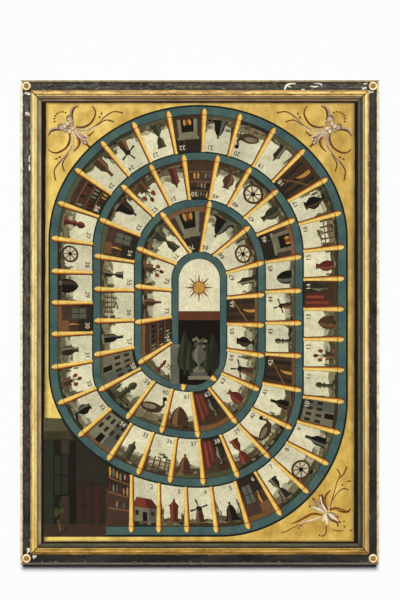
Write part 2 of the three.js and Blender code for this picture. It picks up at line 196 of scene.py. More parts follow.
class Finish(Graph):
    """One Principled material, with calls for its grain, wear and relief; its x and y are in millimetres."""

    def __init__(self, name, specular, metallic=0.0):
        self.material = bpy.data.materials.new(name)
        self.material.use_nodes = True
        super().__init__(self.material.node_tree)
        self.shader = self.tree.nodes["Principled BSDF"].inputs
        self.shader["Specular IOR Level"].default_value = specular
        self.shader["Metallic"].default_value = metallic
        self.place = self.node("TexCoord", {}, "Object")
        self.x, self.y = (self.node("SeparateXYZ", {0: self.place}, axis) * (1 / MM) for axis in (0, 1))

    def noise(self, size, stretch=(1, 1, 1), detail=3.0):
        """Cloudy values round 0.5, in patches of that size in millimetres."""
        scale = [1 / (size * MM * part) for part in stretch]
        squeezed = self.node("Mapping", {"Vector": self.place, "Scale": scale})
        return self.node("TexNoise", {"Vector": squeezed, "Scale": 1.0, "Detail": detail}, "Fac")

    def cracks(self, size):
        """Distance from a net of cracks with cells of that size in millimetres."""
        inputs = {"Vector": self.place, "Scale": 1 / (size * MM)}
        return self.node("TexVoronoi", inputs, "Distance", feature="DISTANCE_TO_EDGE")

    def insets(self, half_x=BOARD_X, half_y=BOARD_Y):
        """Millimetres inward from the nearer side and from the nearer end."""
        return half_x - abs(self.x), half_y - abs(self.y)

    def inward(self):
        """Millimetres inward from the frame's outer edge, on whichever side is nearer."""
        side, end = self.insets()
        return side.math("MINIMUM", end)

    def lower(self):
        """Rises from 0 below the middle of the board to 0.9 at its foot."""
        return self.y.fade(-0.15 * BOARD_Y, -0.85 * BOARD_Y, 0.9)

    def facing(self, start, end):
        """Rises from 0 to 1 as the surface turns from the back, at -1, to the playing side, at 1."""
        normal = self.node("NewGeometry", {}, "Normal")
        return self.node("SeparateXYZ", {0: normal}, 2).fade(start, end)

    def done(self, base, roughness, height, depth):
        """Joins colour, roughness and relief to the shader; depth is in millimetres."""
        bump = self.node("Bump", {"Distance": depth * MM, "Height": height})
        for name, value in (("Base Color", base), ("Roughness", roughness), ("Normal", bump)):
            self.put(self.shader[name], value)
        return self.material


def bare_wood(finish, grain, dark, light):
    """Colour of old bare wood, and its grain; grain is the stretch of its streaks along x, y and z."""
    streaks = finish.noise(1.6, grain, 6.0)
    tone = finish.mix(dark, light, streaks.fade(0.3, 0.7))
    return tone.under((shade(dark, 0.6), finish.noise(14, grain).fade(0.42, 0.7, 0.55))), streaks


def wood_material(name, grain, dark, light):
    finish = Finish(name, specular=0.2)
    tone, streaks = bare_wood(finish, grain, dark, light)
    pits = finish.noise(0.8, detail=2.0).fade(0.66, 0.74)
    tone = tone.under((shade(dark, 0.35), pits))
    return finish.done(tone, streaks.fade(0.3, 0.7, 0.82, 0.62), streaks, 0.25)


def ebonised_material(name, grain, scuffing_and_light):
    """Black-stained wood with soft grey scuffs and chipped edges, bare on the back; the scuffs are stronger
    on the top and left members and fade towards the foot, partly wear and partly painted light.
    """
    finish = Finish(name, specular=0.05)
    bare, streaks = bare_wood(finish, grain, rgb(96, 66, 40), rgb(150, 112, 72))
    drag = [1 + 2 * (part > 1) for part in grain]
    scuffs = finish.noise(7, drag, 5.0)
    face = finish.facing(0.5, 0.8)
    # Partly painted light: the grey scuffs lighten the front more on the top and left members and towards the
    # top of the board.
    rubbing_and_light = face.fade(0, 1, scuffing_and_light, 0.15 * scuffing_and_light) * finish.y.fade(-0.8 * BOARD_Y, 0.7 * BOARD_Y, 1.0, 0.3)
    inward = finish.inward()
    settled = abs(inward - 10).fade(4.8, 2.2, 1.0, 0.2)
    rim = inward.fade(14.4, 16.4).most(inward.fade(5.6, 4.2))
    stain = finish.mix(rgb(20, 21, 19), rgb(50, 45, 43), finish.noise(24, drag).fade(0.36, 0.64))
    stain = stain.under(
        (rgb(108, 112, 98), scuffs.fade(0.38, 0.64, 0.7, 0.05) * rubbing_and_light * settled),
        (rgb(168, 152, 116), finish.noise(2, drag, 4.0).fade(0.58, 0.68, 0.5) * rubbing_and_light),
        (rgb(196, 174, 136), rim * finish.noise(2.4, drag, 5.0).fade(0.6, 0.68) * face),
    )
    base = finish.mix(bare, stain, finish.facing(-0.7, -0.5))
    return finish.done(base, scuffs.fade(0.4, 0.65, 0.66, 0.4), streaks + scuffs * 0.6, 0.18)


def gilded(finish, bright, deep, foot, drag=(1, 1, 1)):
    """Colour of worn leaf over bole, tinted at the board's foot, and its rubbing, drawn out by drag."""
    rub = finish.noise(7, drag, 5.0)
    fine = finish.noise(1.3, drag, 4.0)
    leaf = finish.mix(deep, bright, rub.fade(0.34, 0.6)).under(
        (shade(deep, 0.5), fine.fade(0.62, 0.74, 0.5)),
        (rgb(255, 240, 200), fine.fade(0.42, 0.32, 0.4)),
    )
    return leaf.under((foot, finish.lower()), how="MULTIPLY"), rub


def bead_inside(finish):
    """Covers the inner half of a bead."""
    return finish.inward().fade(1.8, 2.6)


def boss_middle(finish):
    """Covers the dished middle of each corner boss."""
    low, high = (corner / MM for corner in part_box("corner_boss_top_right"))
    from_x = abs(finish.x) - (low.x + high.x) / 2
    from_y = abs(finish.y) - (low.y + high.y) / 2
    radius = (from_x * from_x + from_y * from_y).math("SQRT")
    return radius.fade(0.31 * (high.x - low.x), 0.24 * (high.x - low.x))


def gilt_material(name, bright, deep, foot=NO_TINT, second=None, cover=bead_inside):
    """Leaf darkened brown in its hollows as a painted shade, found by ambient occlusion, and with a second
    colour where the cover lies, if given.
    """
    finish = Finish(name, specular=0.25, metallic=0.1)
    leaf, rub = gilded(finish, bright, deep, foot)
    if second:
        leaf = leaf.under((second, cover(finish)))
    # Painted shade: brown worked into the leaf where nearby surfaces hem it in.
    hollow_shade_occlusion = finish.node("AmbientOcclusion", {"Distance": 3 * MM}, "AO", samples=4)
    leaf = leaf.under((rgb(84, 58, 30), hollow_shade_occlusion.fade(0.95, 0.35, 0.75)))
    return finish.done(leaf, rub.fade(0.3, 0.7, 0.4, 0.56), rub, 0.15)


# Where the parts of the sight moulding meet: millimetres inward, at the start and end of each change
FILLET_TO_TORUS = (18.6, 19.3)
TORUS_TO_GROOVE = (23.6, 24.2)
GROOVE_END = (25.0, 24.6)
REED_START = (24.3, 24.9)
REED_TO_QUIRK = (26.9, 27.4)
COVE_START = 29.0
COVE_BLUR = 0.6
COVE_TO_EDGE = (33.6, 34.4)


def sight_material(
    name, drag, bright, deep, cove, foot=NO_TINT, worn=0.3, fillet=0.5, groove=0.4, quirk=0.45,
    reed=(GOLD, 0.0), cove_start=COVE_START,
):
    """Gilt fillet, torus and reed, a painted cove and a dark sight edge."""
    finish = Finish(name, specular=0.2, metallic=0.05)
    leaf, rub = gilded(finish, bright, deep, foot, drag)
    leaf = leaf.under((rgb(98, 66, 36), finish.noise(2.6, drag, 5.0).fade(0.56, 0.66, worn)))
    edge = finish.mix(shade(deep, 0.4 * fillet), shade(deep, fillet), rub.fade(0.35, 0.65))
    wash = finish.mix(shade(cove, 0.7), shade(cove, 1.3), finish.noise(9, drag, 5.0).fade(0.36, 0.66))
    wash = wash.under((rgb(190, 160, 110), finish.noise(1.2).fade(0.64, 0.72, 0.6)))
    wobble = finish.noise(7).fade(0.3, 0.7, 0.25, -0.25)
    inward = finish.inward() + wobble
    side, end = finish.insets()
    tone = edge.under(
        (leaf, inward.fade(*FILLET_TO_TORUS)),
        # Painted shade: the groove between torus and reed and the quirk before the cove are darkened, more
        # weakly at the top.
        (shade(deep, 0.4), inward.fade(*TORUS_TO_GROOVE) * inward.fade(*GROOVE_END) * groove),
        (reed[0], inward.fade(*REED_START, reed[1])),
        (shade(cove, quirk), inward.fade(*REED_TO_QUIRK)),
        (wash, inward.fade(cove_start, cove_start + COVE_BLUR)),
        (rgb(58, 44, 22), inward.fade(*COVE_TO_EDGE)),
        (rgb(46, 32, 18), (abs(side - end) + wobble).fade(1.9, 0.9, 0.85)),
    )
    return finish.done(tone, rub.fade(0.3, 0.7, 0.42, 0.6), rub, 0.15)


def ground_material():
    """Gold ground of the playing face: mottled leaf and fine dirt, with painted light and shade: lighter on
    the left, darker to the right, and a brown painted shadow along the rebate.
    """
    finish = Finish("gold_ground", specular=0.12)
    x, y = finish.x, finish.y
    clouds = finish.noise(30, detail=5.0)
    fine = finish.noise(1.8, detail=4.0)
    worn = finish.noise(16, (1, 1.6, 1), 6.0)
    # Painted light and shade: a darker patch at mid-height on the right, and a brighter wash on the left that
    # is strongest low down.
    painted_shade_right = x.fade(0.88 * SIGHT_X, 0.97 * SIGHT_X, 0.6) * abs(y).fade(0.55 * SIGHT_Y, 0.3 * SIGHT_Y)
    painted_light_left = x.fade(-0.3 * SIGHT_X, -0.95 * SIGHT_X, 0.6) * y.fade(SIGHT_Y, 0, 1.0, 0.2)
    side, end = finish.insets(SIGHT_X, SIGHT_Y)
    leaf = finish.mix(GOLD_DEEP, GOLD_LIGHT, clouds.fade(0.36, 0.66)).under(
        (GOLD, 0.35),
        # Painted shade: the gold darkens gradually from left to right.
        (rgb(178, 142, 58), x.fade(-0.7 * SIGHT_X, SIGHT_X, 0.4)),
        (rgb(146, 118, 54), painted_shade_right),
        (rgb(255, 228, 122), painted_light_left),
        (rgb(150, 104, 44), fine.fade(0.56, 0.72, 0.5)),
        (rgb(134, 100, 48), worn.fade(0.52, 0.72, 0.4)),
        (rgb(255, 228, 136), worn.fade(0.48, 0.3, 0.3)),
        # Painted shadow of the frame: brown on the gold along the rebate, wider at the sides.
        (rgb(84, 56, 24), side.fade(13, 4).most(end.fade(6, 1.5)) * 0.85),
    )
    height = fine + finish.cracks(5).fade(0, 0.06)
    return finish.done(leaf, clouds.fade(0.3, 0.7, 0.42, 0.55), height, 0.05)


def oil_material():
    """Oil paint in the colour that each patch carries, mottled, cracked and varnished."""
    finish = Finish("oil_paint", specular=0.04)
    brush = finish.noise(3, detail=5.0)
    light = brush.fade(0.3, 0.7, 1.14, 0.86) * finish.noise(19, detail=4.0).fade(0.3, 0.7, 1.08, 0.88)
    specks = finish.noise(1.2, detail=2.0).fade(0.66, 0.76, 0.5)
    net = finish.cracks(4).fade(0, 0.05)
    tone = finish.node("VertexColor", {}, "Color", layer_name="paint").under(
        (finish.node("CombineXYZ", {0: light, 1: light, 2: light}), 1.0),
        ((0.74, 0.66, 0.48, 1.0), finish.noise(8, detail=4.0).fade(0.46, 0.75, 0.6)),
        ((0.3, 0.24, 0.16, 1.0), specks.most(net.fade(1, 0, 0.2))),
        (VARNISH, 1.0),
        how="MULTIPLY",
    )
    return finish.done(tone, brush.fade(0.3, 0.7, 0.66, 0.5), brush + net, 0.04)


def metal_material(name, dark, light, metallic, rough):
    finish = Finish(name, specular=0.4, metallic=metallic)
    hammered = finish.noise(2.2)
    rust = finish.noise(0.9, detail=5.0)
    tone = finish.mix(dark, light, hammered.fade(0.35, 0.65))
    tone = tone.under((rgb(96, 58, 34), rust.fade(0.58, 0.72, 0.6)))
    return finish.done(tone, rust.fade(0.4, 0.7, rough + 0.3, rough), hammered, 0.2)


def dress(names, material):
    for name in names:
        nodes[name].data.materials.clear()
        nodes[name].data.materials.append(material)


CORNERS = ("top_left", "top_right", "bottom_left", "bottom_right")
ALONG_X = (30, 1, 1)
ALONG_Y = (1, 30, 1)
# Grain of the frame's members and the strength of their scuffs, stronger on the top and left: partly wear and
# partly painted light
MEMBERS = {
    "rail_top": (ALONG_X, 1.0), "rail_bottom": (ALONG_X, 0.3),
    "stile_left": (ALONG_Y, 1.0), "stile_right": (ALONG_Y, 0.35),
}
# Each side's gilding has its own colours: pale on the left and right, darker at the top and darkest at the
# bottom, and darker towards the foot, most on the right. These differences are partly wear and partly painted
# light and shade.
PALE = dict(drag=(1, 4, 1), bright=rgb(255, 236, 162), deep=rgb(236, 202, 122))
SIGHTS = {
    "left": dict(PALE, cove=rgb(150, 134, 98), foot=(0.92, 0.85, 0.56, 1)),
    "right": dict(
        PALE, cove=rgb(74, 74, 56), foot=(0.6, 0.48, 0.36, 1), reed=(rgb(158, 126, 66), 0.75),
        cove_start=30.6,
    ),
    "top": dict(
        drag=(4, 1, 1), bright=rgb(242, 208, 124), deep=rgb(160, 122, 66), cove=rgb(134, 110, 80),
        worn=0.7, fillet=1.6, groove=0.1, quirk=0.8, reed=(rgb(168, 136, 88), 0.5),
    ),
    "bottom": dict(
        drag=(4, 1, 1), bright=rgb(200, 154, 64), deep=rgb(134, 98, 34), cove=rgb(60, 58, 40),
        fillet=1.6, reed=(GOLD, 0.25),
    ),
}
DARKER = (0.85, 0.7, 0.6, 1)
# Leaf of the outer beads, the tint at the board's foot and, where it differs, the inner half; the leaf is
# pale on the left and right and dark at the top and bottom, partly wear and partly painted light and shade
BEADS = {
    "left": (rgb(255, 244, 200), DARKER),
    "right": (rgb(248, 234, 188), DARKER),
    "top": (rgb(146, 126, 84), NO_TINT),
    "bottom": (rgb(122, 115, 92), NO_TINT, rgb(52, 46, 38)),
}


def dress_frame():
    for name, finish in MEMBERS.items():
        dress([name], ebonised_material(f"ebonised_{name}", *finish))
    for side, sight in SIGHTS.items():
        dress([f"sight_moulding_{side}"], sight_material(f"gilt_sight_{side}", **sight))
        bead, *tints = BEADS[side]
        dress([f"outer_bead_{side}"], gilt_material(f"gilt_bead_{side}", bead, shade(bead, 0.6), *tints))
    rim, dish = (rgb(250, 232, 180), rgb(222, 186, 120)), rgb(150, 114, 54)
    boss = gilt_material("gilt_boss", *rim, second=dish, cover=boss_middle)
    dress([f"corner_boss_{corner}" for corner in CORNERS], boss)


def dress_panel():
    for place, age in (("left", 1.0), ("middle", 0.74), ("right", 0.9)):
        dark, light = shade(rgb(104, 74, 46), age), shade(rgb(158, 122, 82), age)
        dress([f"panel_plank_{place}"], wood_material(f"poplar_plank_{place}", ALONG_Y, dark, light))
    batten = wood_material("poplar_batten", ALONG_X, rgb(92, 64, 40), rgb(144, 108, 70))
    dress(("cross_batten_upper", "cross_batten_lower"), batten)
    peg = wood_material("peg_wood", (1, 1, 20), rgb(70, 44, 26), rgb(122, 82, 48))
    dress([f"corner_peg_{corner}" for corner in CORNERS], peg)
    dress(["playing_face"], ground_material())


def dress_metal():
    brass = metal_material("aged_brass", rgb(130, 96, 42), rgb(176, 136, 66), 0.2, 0.5)
    dress([f"boss_pin_{corner}" for corner in CORNERS], brass)
    iron = metal_material("forged_iron", rgb(44, 40, 36), rgb(78, 72, 66), 0.7, 0.45)
    nails = [name for name in nodes if name.startswith("panel_nail_")]
    dress(nails + ["hanging_staple", "hanging_ring"], iron)


dress_frame()
dress_panel()
dress_metal()
oil = oil_material()


# Layers of paint, with their heights over the surface that they stand on

SUNK = 0.05
STEP = 0.012
SIDE_MARGIN_TOP, END_MARGIN_TOP = 0.02, 0.025
FIELD_TOP, BAND_TOP, LINE_TOP = 0.05, 0.12, 0.16
NUMBER_BASE, SHADOW_TOP = 0.7, 0.76
START_LIFT, LOSS_LIFT, ORNAMENT_LIFT, PICTURE_LIFT, PIER_LIFT = 0.03, 0.04, 0.05, 0.07, 0.2


class Layer:
    """Closed patches of one coat of paint, gathered into one mesh."""

    def __init__(self, name, base):
        self.name = name
        self.base = base
        self.points = []
        self.faces = []
        self.tints = []

    def add(self, points, faces, tints):
        """Adds a closed shell: points over the surface, faces and one colour for each face."""
        first = len(self.points)
        self.points += [(x * MM, y * MM, (self.base + z) * MM) for x, y, z in points]
        self.faces += [[first + corner for corner in face] for face in faces]
        self.tints += tints

    def loft(self, rings, tints):
        """A closed shell through rings of points; its colours go round step by step, then to the two ends."""
        size = len(rings[0])
        final = size * (len(rings) - 1)
        faces = []
        for first in range(0, final, size):
            for j in range(size):
                k = (j + 1) % size
                faces.append([first + j, first + k, first + size + k, first + size + j])
        faces += [list(range(size))[::-1], list(range(final, final + size))]
        self.add([point for ring in rings for point in ring], faces, tints)

    def patch(self, outline, tint, top):
        """One flat patch with its top at that height."""
        area = sum(a[0] * b[1] - b[0] * a[1] for a, b in zip(outline, outline[1:] + outline[:1]))
        if area < 0:
            outline = outline[::-1]
        rings = [[(x, y, z) for x, y in outline] for z in (-SUNK, top)]
        self.loft(rings, [tint] * (len(outline) + 2))

    def ribbon(self, right, left, tints, top):
        """A strip between two lines of points, right and left of its run, with one colour for each step."""
        rings = []
        for near, far in zip(right, left):
            rings.append([(*far, -SUNK), (*far, top), (*near, top), (*near, -SUNK)])
        self.loft(rings, [tint for tint in tints for _ in range(4)] + [tints[0], tints[-1]])

    def build(self, slot):
        mesh = bpy.data.meshes.new(self.name)
        mesh.from_pydata(self.points, [], self.faces)
        corners = [tint for face, tint in zip(self.faces, self.tints) for _ in face]
        paint = mesh.color_attributes.new("paint", "FLOAT_COLOR", "CORNER")
        paint.data.foreach_set("color", np.array(corners, np.float32).ravel())
        mesh.materials.append(oil)
        piece = bpy.data.objects.new(self.name, mesh)
        bpy.context.collection.objects.link(piece)
        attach(piece, BODY)


def unit(vectors):
    return vectors / np.hypot(*vectors.T)[:, None]


def on_face(x, y):
    """The place of a picture that is drawn straight on the face."""
    return x, y


class Pen:
    """Draws shapes into a layer, each a little higher than the last; place maps the picture to the face."""

    def __init__(self, layer, place, lift, seed):
        self.layer = layer
        self.place = place
        self.level = [lift]
        self.dice = random.Random(seed)

    def through(self, mapping):
        """The same pen, with its points taken through a mapping first."""
        other = copy.copy(self)
        outer = self.place
        other.place = lambda x, y: outer(*mapping(x, y))
        return other

    def inside(self, x, y, size):
        """The same pen for a motif that stands at a point and is drawn in parts of its size."""
        return self.through(lambda a, b: (x + a * size, y + b * size))

    def shape(self, outline, tint):
        tone = shade(tint, self.dice.uniform(0.86, 1.14))
        self.layer.patch([self.place(*spot) for spot in outline], tone, self.level[0])
        self.level[0] += STEP

    def panel(self, left, low, right, high, tint, steps=6, ripple=0.0):
        """An upright panel whose long edges follow a curved place; ripple roughens its upper edge."""
        across = [left + (right - left) * i / steps for i in range(steps + 1)]
        upper = [(x, high + self.dice.uniform(-ripple, ripple)) for x in reversed(across)]
        self.shape([(x, low) for x in across] + upper, tint)

    def blob(self, x, y, wide, high, tint, wobble=0.12, points=11, tilt=0.0):
        """A round patch with an uneven edge."""
        angle = 2 * math.pi * np.arange(points) / points
        reach = np.array([1 + self.dice.uniform(-wobble, wobble) for _ in range(points)])
        level, up = wide * reach * np.cos(angle), high * reach * np.sin(angle)
        across, rise = math.cos(tilt), math.sin(tilt)
        self.shape(zip(x + level * across - up * rise, y + level * rise + up * across), tint)

    def stroke(self, spine, widths, tint):
        """A brush stroke along a line of points: one width, or the widths at its start, middle and end."""
        spine = np.array(spine, float)
        longer = np.concatenate([spine[:1], spine, spine[-1:]])
        run = unit(longer[2:] - longer[:-2])
        half = np.interp(np.linspace(0, 2, len(spine)), range(3), np.broadcast_to(widths, 3)) / 2
        side = np.column_stack([run[:, 1], -run[:, 0]]) * half[:, None]
        self.shape([*(spine + side), *(spine - side)[::-1]], tint)

    def turned(self, profile, dark, light):
        """A turned form from its half profile (radius, level), in shade with one lit side."""
        for right, left, tint in ((1, -1, dark), (-0.2, -0.75, light)):
            down = [(left * radius, y) for radius, y in reversed(profile)]
            self.shape([(right * radius, y) for radius, y in profile] + down, tint)


# The track: an inward spiral of quarter ellipses and straight sides, three turns and the centre oval

RIGHT = (248.2, 174.5, 110.9, 46.3)
LEFT = (-253.5, -180.4, -110.6, -47.8)
TOP = (364.1, 286.3, 207.2, 119.0)
BOTTOM = (-359.4, -277.4, -196.2, -117.5)
UPPER_RIGHT_SPRING = (137.8, 112.0, 86.0, 70.8)
UPPER_LEFT_SPRING = (137.8, 121.0, 100.9, 70.8)
LOWER_RIGHT_SPRING = (-130.1, -108.3, -63.1, -46.4)
LOWER_LEFT_SPRING = (-79.9, -79.9, -46.4)
TURN_FOOT = (33.9, -1.3, -1.3, -8.0)
TOP_X = -1.3
TRACK_START_X = -157.0
CENTRE_END_Y = -103.0
TRACK_STEP = 1.5
NEXT_TURN_AHEAD = 250.0
LEAN_SPAN = 110.0
BAND_WIDE_START, BAND_WIDE_END = 18.0, 12.5
OUTLINE_START, OUTLINE_END = 3.6, 1.5
INNER_LINE = 0.9
SHORTEST_SPACE = 13.5
# Some batons by number and by distance along the middle of the track; the rest stand evenly between these
BATON_MARKS = (
    (1, 44), (10, 461), (19, 915), (34, 1692), (40, 1971), (46, 2292),
    (52, 2558), (57, 2817), (62, 3049), (71, 3477), (74, 3637),
)


def quarter(x, y, side, end):
    """Points of a quarter ellipse round (x, y), from its side to its upper or lower end."""
    angle = np.linspace(0, math.pi / 2, 120)
    return np.column_stack([x + np.cos(angle) * (side - x), y + np.sin(angle) * (end - y)])


def run_of(points):
    """Distance along a line of points, at each of them."""
    return np.concatenate([[0], np.cumsum(np.hypot(*np.diff(points, axis=0).T))])


def spiral():
    """The outer contour of the band, at even steps from the start to the end of the centre oval."""
    lines = [(TRACK_START_X, BOTTOM[0])]
    for turn in range(4):
        right, left = RIGHT[turn], LEFT[turn]
        lines += [
            quarter(TURN_FOOT[turn], LOWER_RIGHT_SPRING[turn], right, BOTTOM[turn])[::-1],
            quarter(TOP_X, UPPER_RIGHT_SPRING[turn], right, TOP[turn]),
            quarter(TOP_X, UPPER_LEFT_SPRING[turn], left, TOP[turn])[::-1],
        ]
        if turn < 3:
            lines.append(quarter(TURN_FOOT[turn + 1], LOWER_LEFT_SPRING[turn], left, BOTTOM[turn + 1]))
    raw = np.vstack([*lines, (LEFT[3], CENTRE_END_Y)])
    run = run_of(raw)
    even = np.arange(0, run[-1], TRACK_STEP)
    return np.column_stack([np.interp(even, run, raw[:, i]) for i in (0, 1)])


def normals(points):
    """Unit normals to the left of the run, which is inward."""
    ahead = np.gradient(points, axis=0)
    return unit(np.column_stack([-ahead[:, 1], ahead[:, 0]]))


def eased(directions):
    """Normals averaged along the track, so that dividers fan out gently from the sides into the curves."""
    reach = int(LEAN_SPAN / TRACK_STEP)
    padded = np.concatenate([directions[:1].repeat(reach, 0), directions, directions[-1:].repeat(reach, 0)])
    sums = np.concatenate([np.zeros((1, 2)), np.cumsum(padded, axis=0)])
    return unit(sums[2 * reach + 1:] - sums[:-2 * reach - 1])


def feet(points, directions):
    """For each point, where its normal meets the next turn; the list ends where the track runs out."""
    found = []
    steps = np.diff(points, axis=0)
    ahead = int(NEXT_TURN_AHEAD / TRACK_STEP)
    for i, (point, direction) in enumerate(zip(points, directions)):
        gap, step = points[i + ahead:-1] - point, steps[i + ahead:]
        across = direction[0] * step[:, 1] - direction[1] * step[:, 0]
        across[across == 0] = 1e-9
        reach = (gap[:, 0] * step[:, 1] - gap[:, 1] * step[:, 0]) / across
        part = (gap[:, 0] * direction[1] - gap[:, 1] * direction[0]) / across
        hits = reach[(part >= 0) & (part <= 1) & (reach > 0)]
        if hits.size == 0 or hits.min() < SHORTEST_SPACE:
            break
        found.append(point + direction * hits.min())
    return np.array(found)


contour = spiral()
normal = normals(contour)
foot = feet(contour, eased(normal))
last = len(foot) - 1
band_wide = np.linspace(BAND_WIDE_START, BAND_WIDE_END, len(contour))[:, None]
band_edge = contour + normal * band_wide
middle = (band_edge[:last + 1] + foot) / 2
baton_numbers = np.arange(BATON_MARKS[0][0], BATON_MARKS[-1][0] + 1)
baton_run = np.interp(baton_numbers, *zip(*BATON_MARKS))
baton_at = np.interp(baton_run, run_of(middle), np.arange(last + 1))
space_ends = [0.0, *baton_at, float(last)]
spaces = list(zip(range(1, len(space_ends)), space_ends, space_ends[1:]))


def along(line, at):
    """The point of a line at a fractional place on the track."""
    low = min(int(at), len(line) - 2)
    return line[low] + (line[low + 1] - line[low]) * (at - low)


def mottled(dice, first, second, count, slow):
    """A run of colours that drifts between two, for a long strip."""
    knots = [dice.random() for _ in range(count // slow + 2)]
    parts = np.interp(np.arange(count), np.arange(len(knots)) * slow, knots)
    return [between(first, second, part) for part in parts]


def paint_field(layer):
    """Ivory ground of the spaces, from the band to the next turn."""
    tints = mottled(random.Random(11), IVORY, shade(IVORY, 0.72), last, 20)
    layer.ribbon(band_edge[:last + 1], foot, tints, FIELD_TOP)


def paint_band(layer, lines):
    """The blue band along the whole spiral, its heavy outer outline and its thin inner line."""
    dice = random.Random(12)
    count = len(contour) - 1
    layer.ribbon(contour, band_edge, mottled(dice, BAND_BLUE, BAND_GREEN, count, 9), BAND_TOP)
    dark = mottled(dice, OUTLINE, shade(OUTLINE, 1.7), count, 15)
    heavy = np.linspace(OUTLINE_START, OUTLINE_END, len(contour))[:, None]
    lines.ribbon(contour, contour + normal * heavy, dark, LINE_TOP)
    lines.ribbon(band_edge - normal * INNER_LINE, band_edge, dark, LINE_TOP)


# Batons between the spaces: distances from the tip, or back from the foot, with half widths

BATON_HEAD = (
    (0.0, 0.9), (0.9, 2.4), (2.6, 3.7), (5.4, 4.6), (8.6, 4.8), (10.0, 4.3), (10.3, 3.8), (11.1, 3.8),
)
BATON_SHAFT = ((11.4, 4.3), (13.4, 4.2))
BATON_FOOT = ((3.4, 2.5), (2.8, 3.2), (0.8, 3.3), (0.0, 2.6))
BATON_NECK = (5, 6)
HEAD_ON_BAND = 10.6
FOOT_OVERLAP = 1.0
KNOB_SETBACK = 2
SHADOW_WIDE = 1.3
# Section of a baton: part of the half width, and height
BATON_SECTION = (
    (-1.0, 0.8), (-0.75, 0.94), (-0.2, 1.02), (0.25, 1.0), (0.6, 0.94), (1.0, 0.8),
    (1.0, -SUNK), (-1.0, -SUNK),
)
BATON_TINTS = [BATON_MID, BATON_LIGHT, BATON_LIGHT, BATON_MID] + [BATON_SHADE] * 4
CENTRE_KNOBS = ((-26.7, -110.0), (22.2, -93.2))


def paint_rod(layer, shadows, tip, axis, stations):
    """A rounded gold rod with a dark forward edge, and the shadow beside it."""
    forward = np.array([axis[1], -axis[0]])
    rings, tints = [], []
    for distance, half in stations:
        spine = tip + axis * distance
        rings.append([(*(spine + forward * half * part), rise) for part, rise in BATON_SECTION])
    for step in range(len(stations) - 1):
        tints += [shade(BATON_SHADE, 0.6)] * len(BATON_TINTS) if step in BATON_NECK else BATON_TINTS
    layer.loft(rings, tints + [BATON_SHADE] * 2)
    cast = [tip + axis * distance + forward * (half + SHADOW_WIDE) for distance, half in stations]
    near = [tip + axis * distance for distance, _ in stations]
    shadows.ribbon(cast, near, [INK, INK] + [UMBER] * (len(stations) - 3), SHADOW_TOP)


def paint_batons(layer, shadows):
    """Whole batons from the band to the next turn, and two heads alone on the band of the centre oval."""
    for at in baton_at:
        outer, inner = along(contour, at), along(foot, at)
        axis = (inner - outer) / np.hypot(*(inner - outer))
        tip = outer + axis * (float(along(band_wide, at)[0]) - HEAD_ON_BAND)
        length = np.hypot(*(inner - tip)) + FOOT_OVERLAP
        base = tuple((length - back, half) for back, half in BATON_FOOT)
        paint_rod(layer, shadows, tip, axis, BATON_HEAD + BATON_SHAFT + base)
    for spot in CENTRE_KNOBS:
        nearest = np.hypot(*(contour - spot).T).argmin()
        axis = normal[nearest]
        paint_rod(layer, shadows, contour[nearest] + axis * KNOB_SETBACK, axis, BATON_HEAD)


# Motifs for the pictures in the spaces, drawn one unit high

PAWN = ((.2, 0), (.2, .07), (.11, .12), (.07, .4), (.16, .5), (.07, .56), (.15, .7), (.12, .86), (0, .94))
URN = ((.16, 0), (.16, .06), (.05, .13), (.06, .2), (.22, .38), (.26, .58), (.13, .78), (.19, .88), (0, .9))
CYPRESS = ((.03, 0), (.04, .12), (.13, .14), (.17, .3), (.13, .6), (.06, .85), (0, 1))
GLASS = (
    (.2, 0), (.2, .08), (.16, .1), (.15, .3), (.03, .5), (.15, .7), (.16, .9), (.2, .92), (.2, 1), (0, 1),
)
BEEHIVE = ((.3, 0), (.33, .12), (.33, .34), (.27, .55), (.16, .7), (.05, .78), (0, .8))
LANTERN = ((.17, 0), (.17, .08), (.13, .1), (.16, .55), (.2, .58), (.06, .72), (.03, .84), (0, .86))
BOTTLE = ((.16, 0), (.18, .06), (.18, .44), (.07, .62), (.06, .84), (.08, .88), (0, .9))
JUG = ((.15, 0), (.17, .08), (.24, .3), (.2, .5), (.1, .64), (.1, .74), (.15, .82), (0, .82))
BELL = ((.3, 0), (.3, .06), (.22, .14), (.18, .45), (.1, .62), (.03, .68), (.05, .76), (0, .8))
POT = ((.12, 0), (.2, .34), (.23, .4), (0, .4))
TURNED_FORMS = (PAWN, URN, GLASS, BEEHIVE, LANTERN, BOTTLE, JUG, BELL)
COATS = ((INK, UMBER), (WINE, BRICK), (UMBER, SIENNA), (MOSS, OLIVE), (INK, SLATE), (DUSK, STONE))


def foliage(pen, x, y, wide, high, count):
    """A soft mass of leaves from small dabs, pale behind and dark in front."""
    for i in range(count):
        part = i / count
        dab_x = x + pen.dice.gauss(0, 0.42) * wide
        dab_y = y + pen.dice.uniform(-0.6, 0.75 - 0.7 * part) * high
        tint = between(between(SAGE, OLIVE, part), MOSS, part * part)
        pen.blob(dab_x, dab_y, wide * 0.3, high * 0.24, tint, 0.3, 8)


def tree(pen):
    pen.stroke([(0, 0), (0.03, 0.3), (-0.01, 0.62)], (0.08, 0.05, 0.03), UMBER)
    foliage(pen, 0, 0.72, 0.3, 0.34, 14)


def goose(pen):
    for leg in (-0.06, 0.1):
        pen.stroke([(leg, 0), (leg, 0.3)], (0.05, 0.03, 0.03), SIENNA)
    pen.blob(0, 0.42, 0.4, 0.2, UMBER, 0.05, 14, 0.15)
    pen.stroke([(0.28, 0.45), (0.42, 0.65), (0.34, 0.86)], (0.17, 0.09, 0.08), UMBER)
    pen.blob(0.38, 0.9, 0.1, 0.08, INK, 0.0)
    pen.stroke([(0.45, 0.89), (0.58, 0.86)], (0.06, 0.04, 0.02), OCHRE)
    pen.blob(-0.08, 0.44, 0.26, 0.1, STONE, 0.08, 10, 0.2)


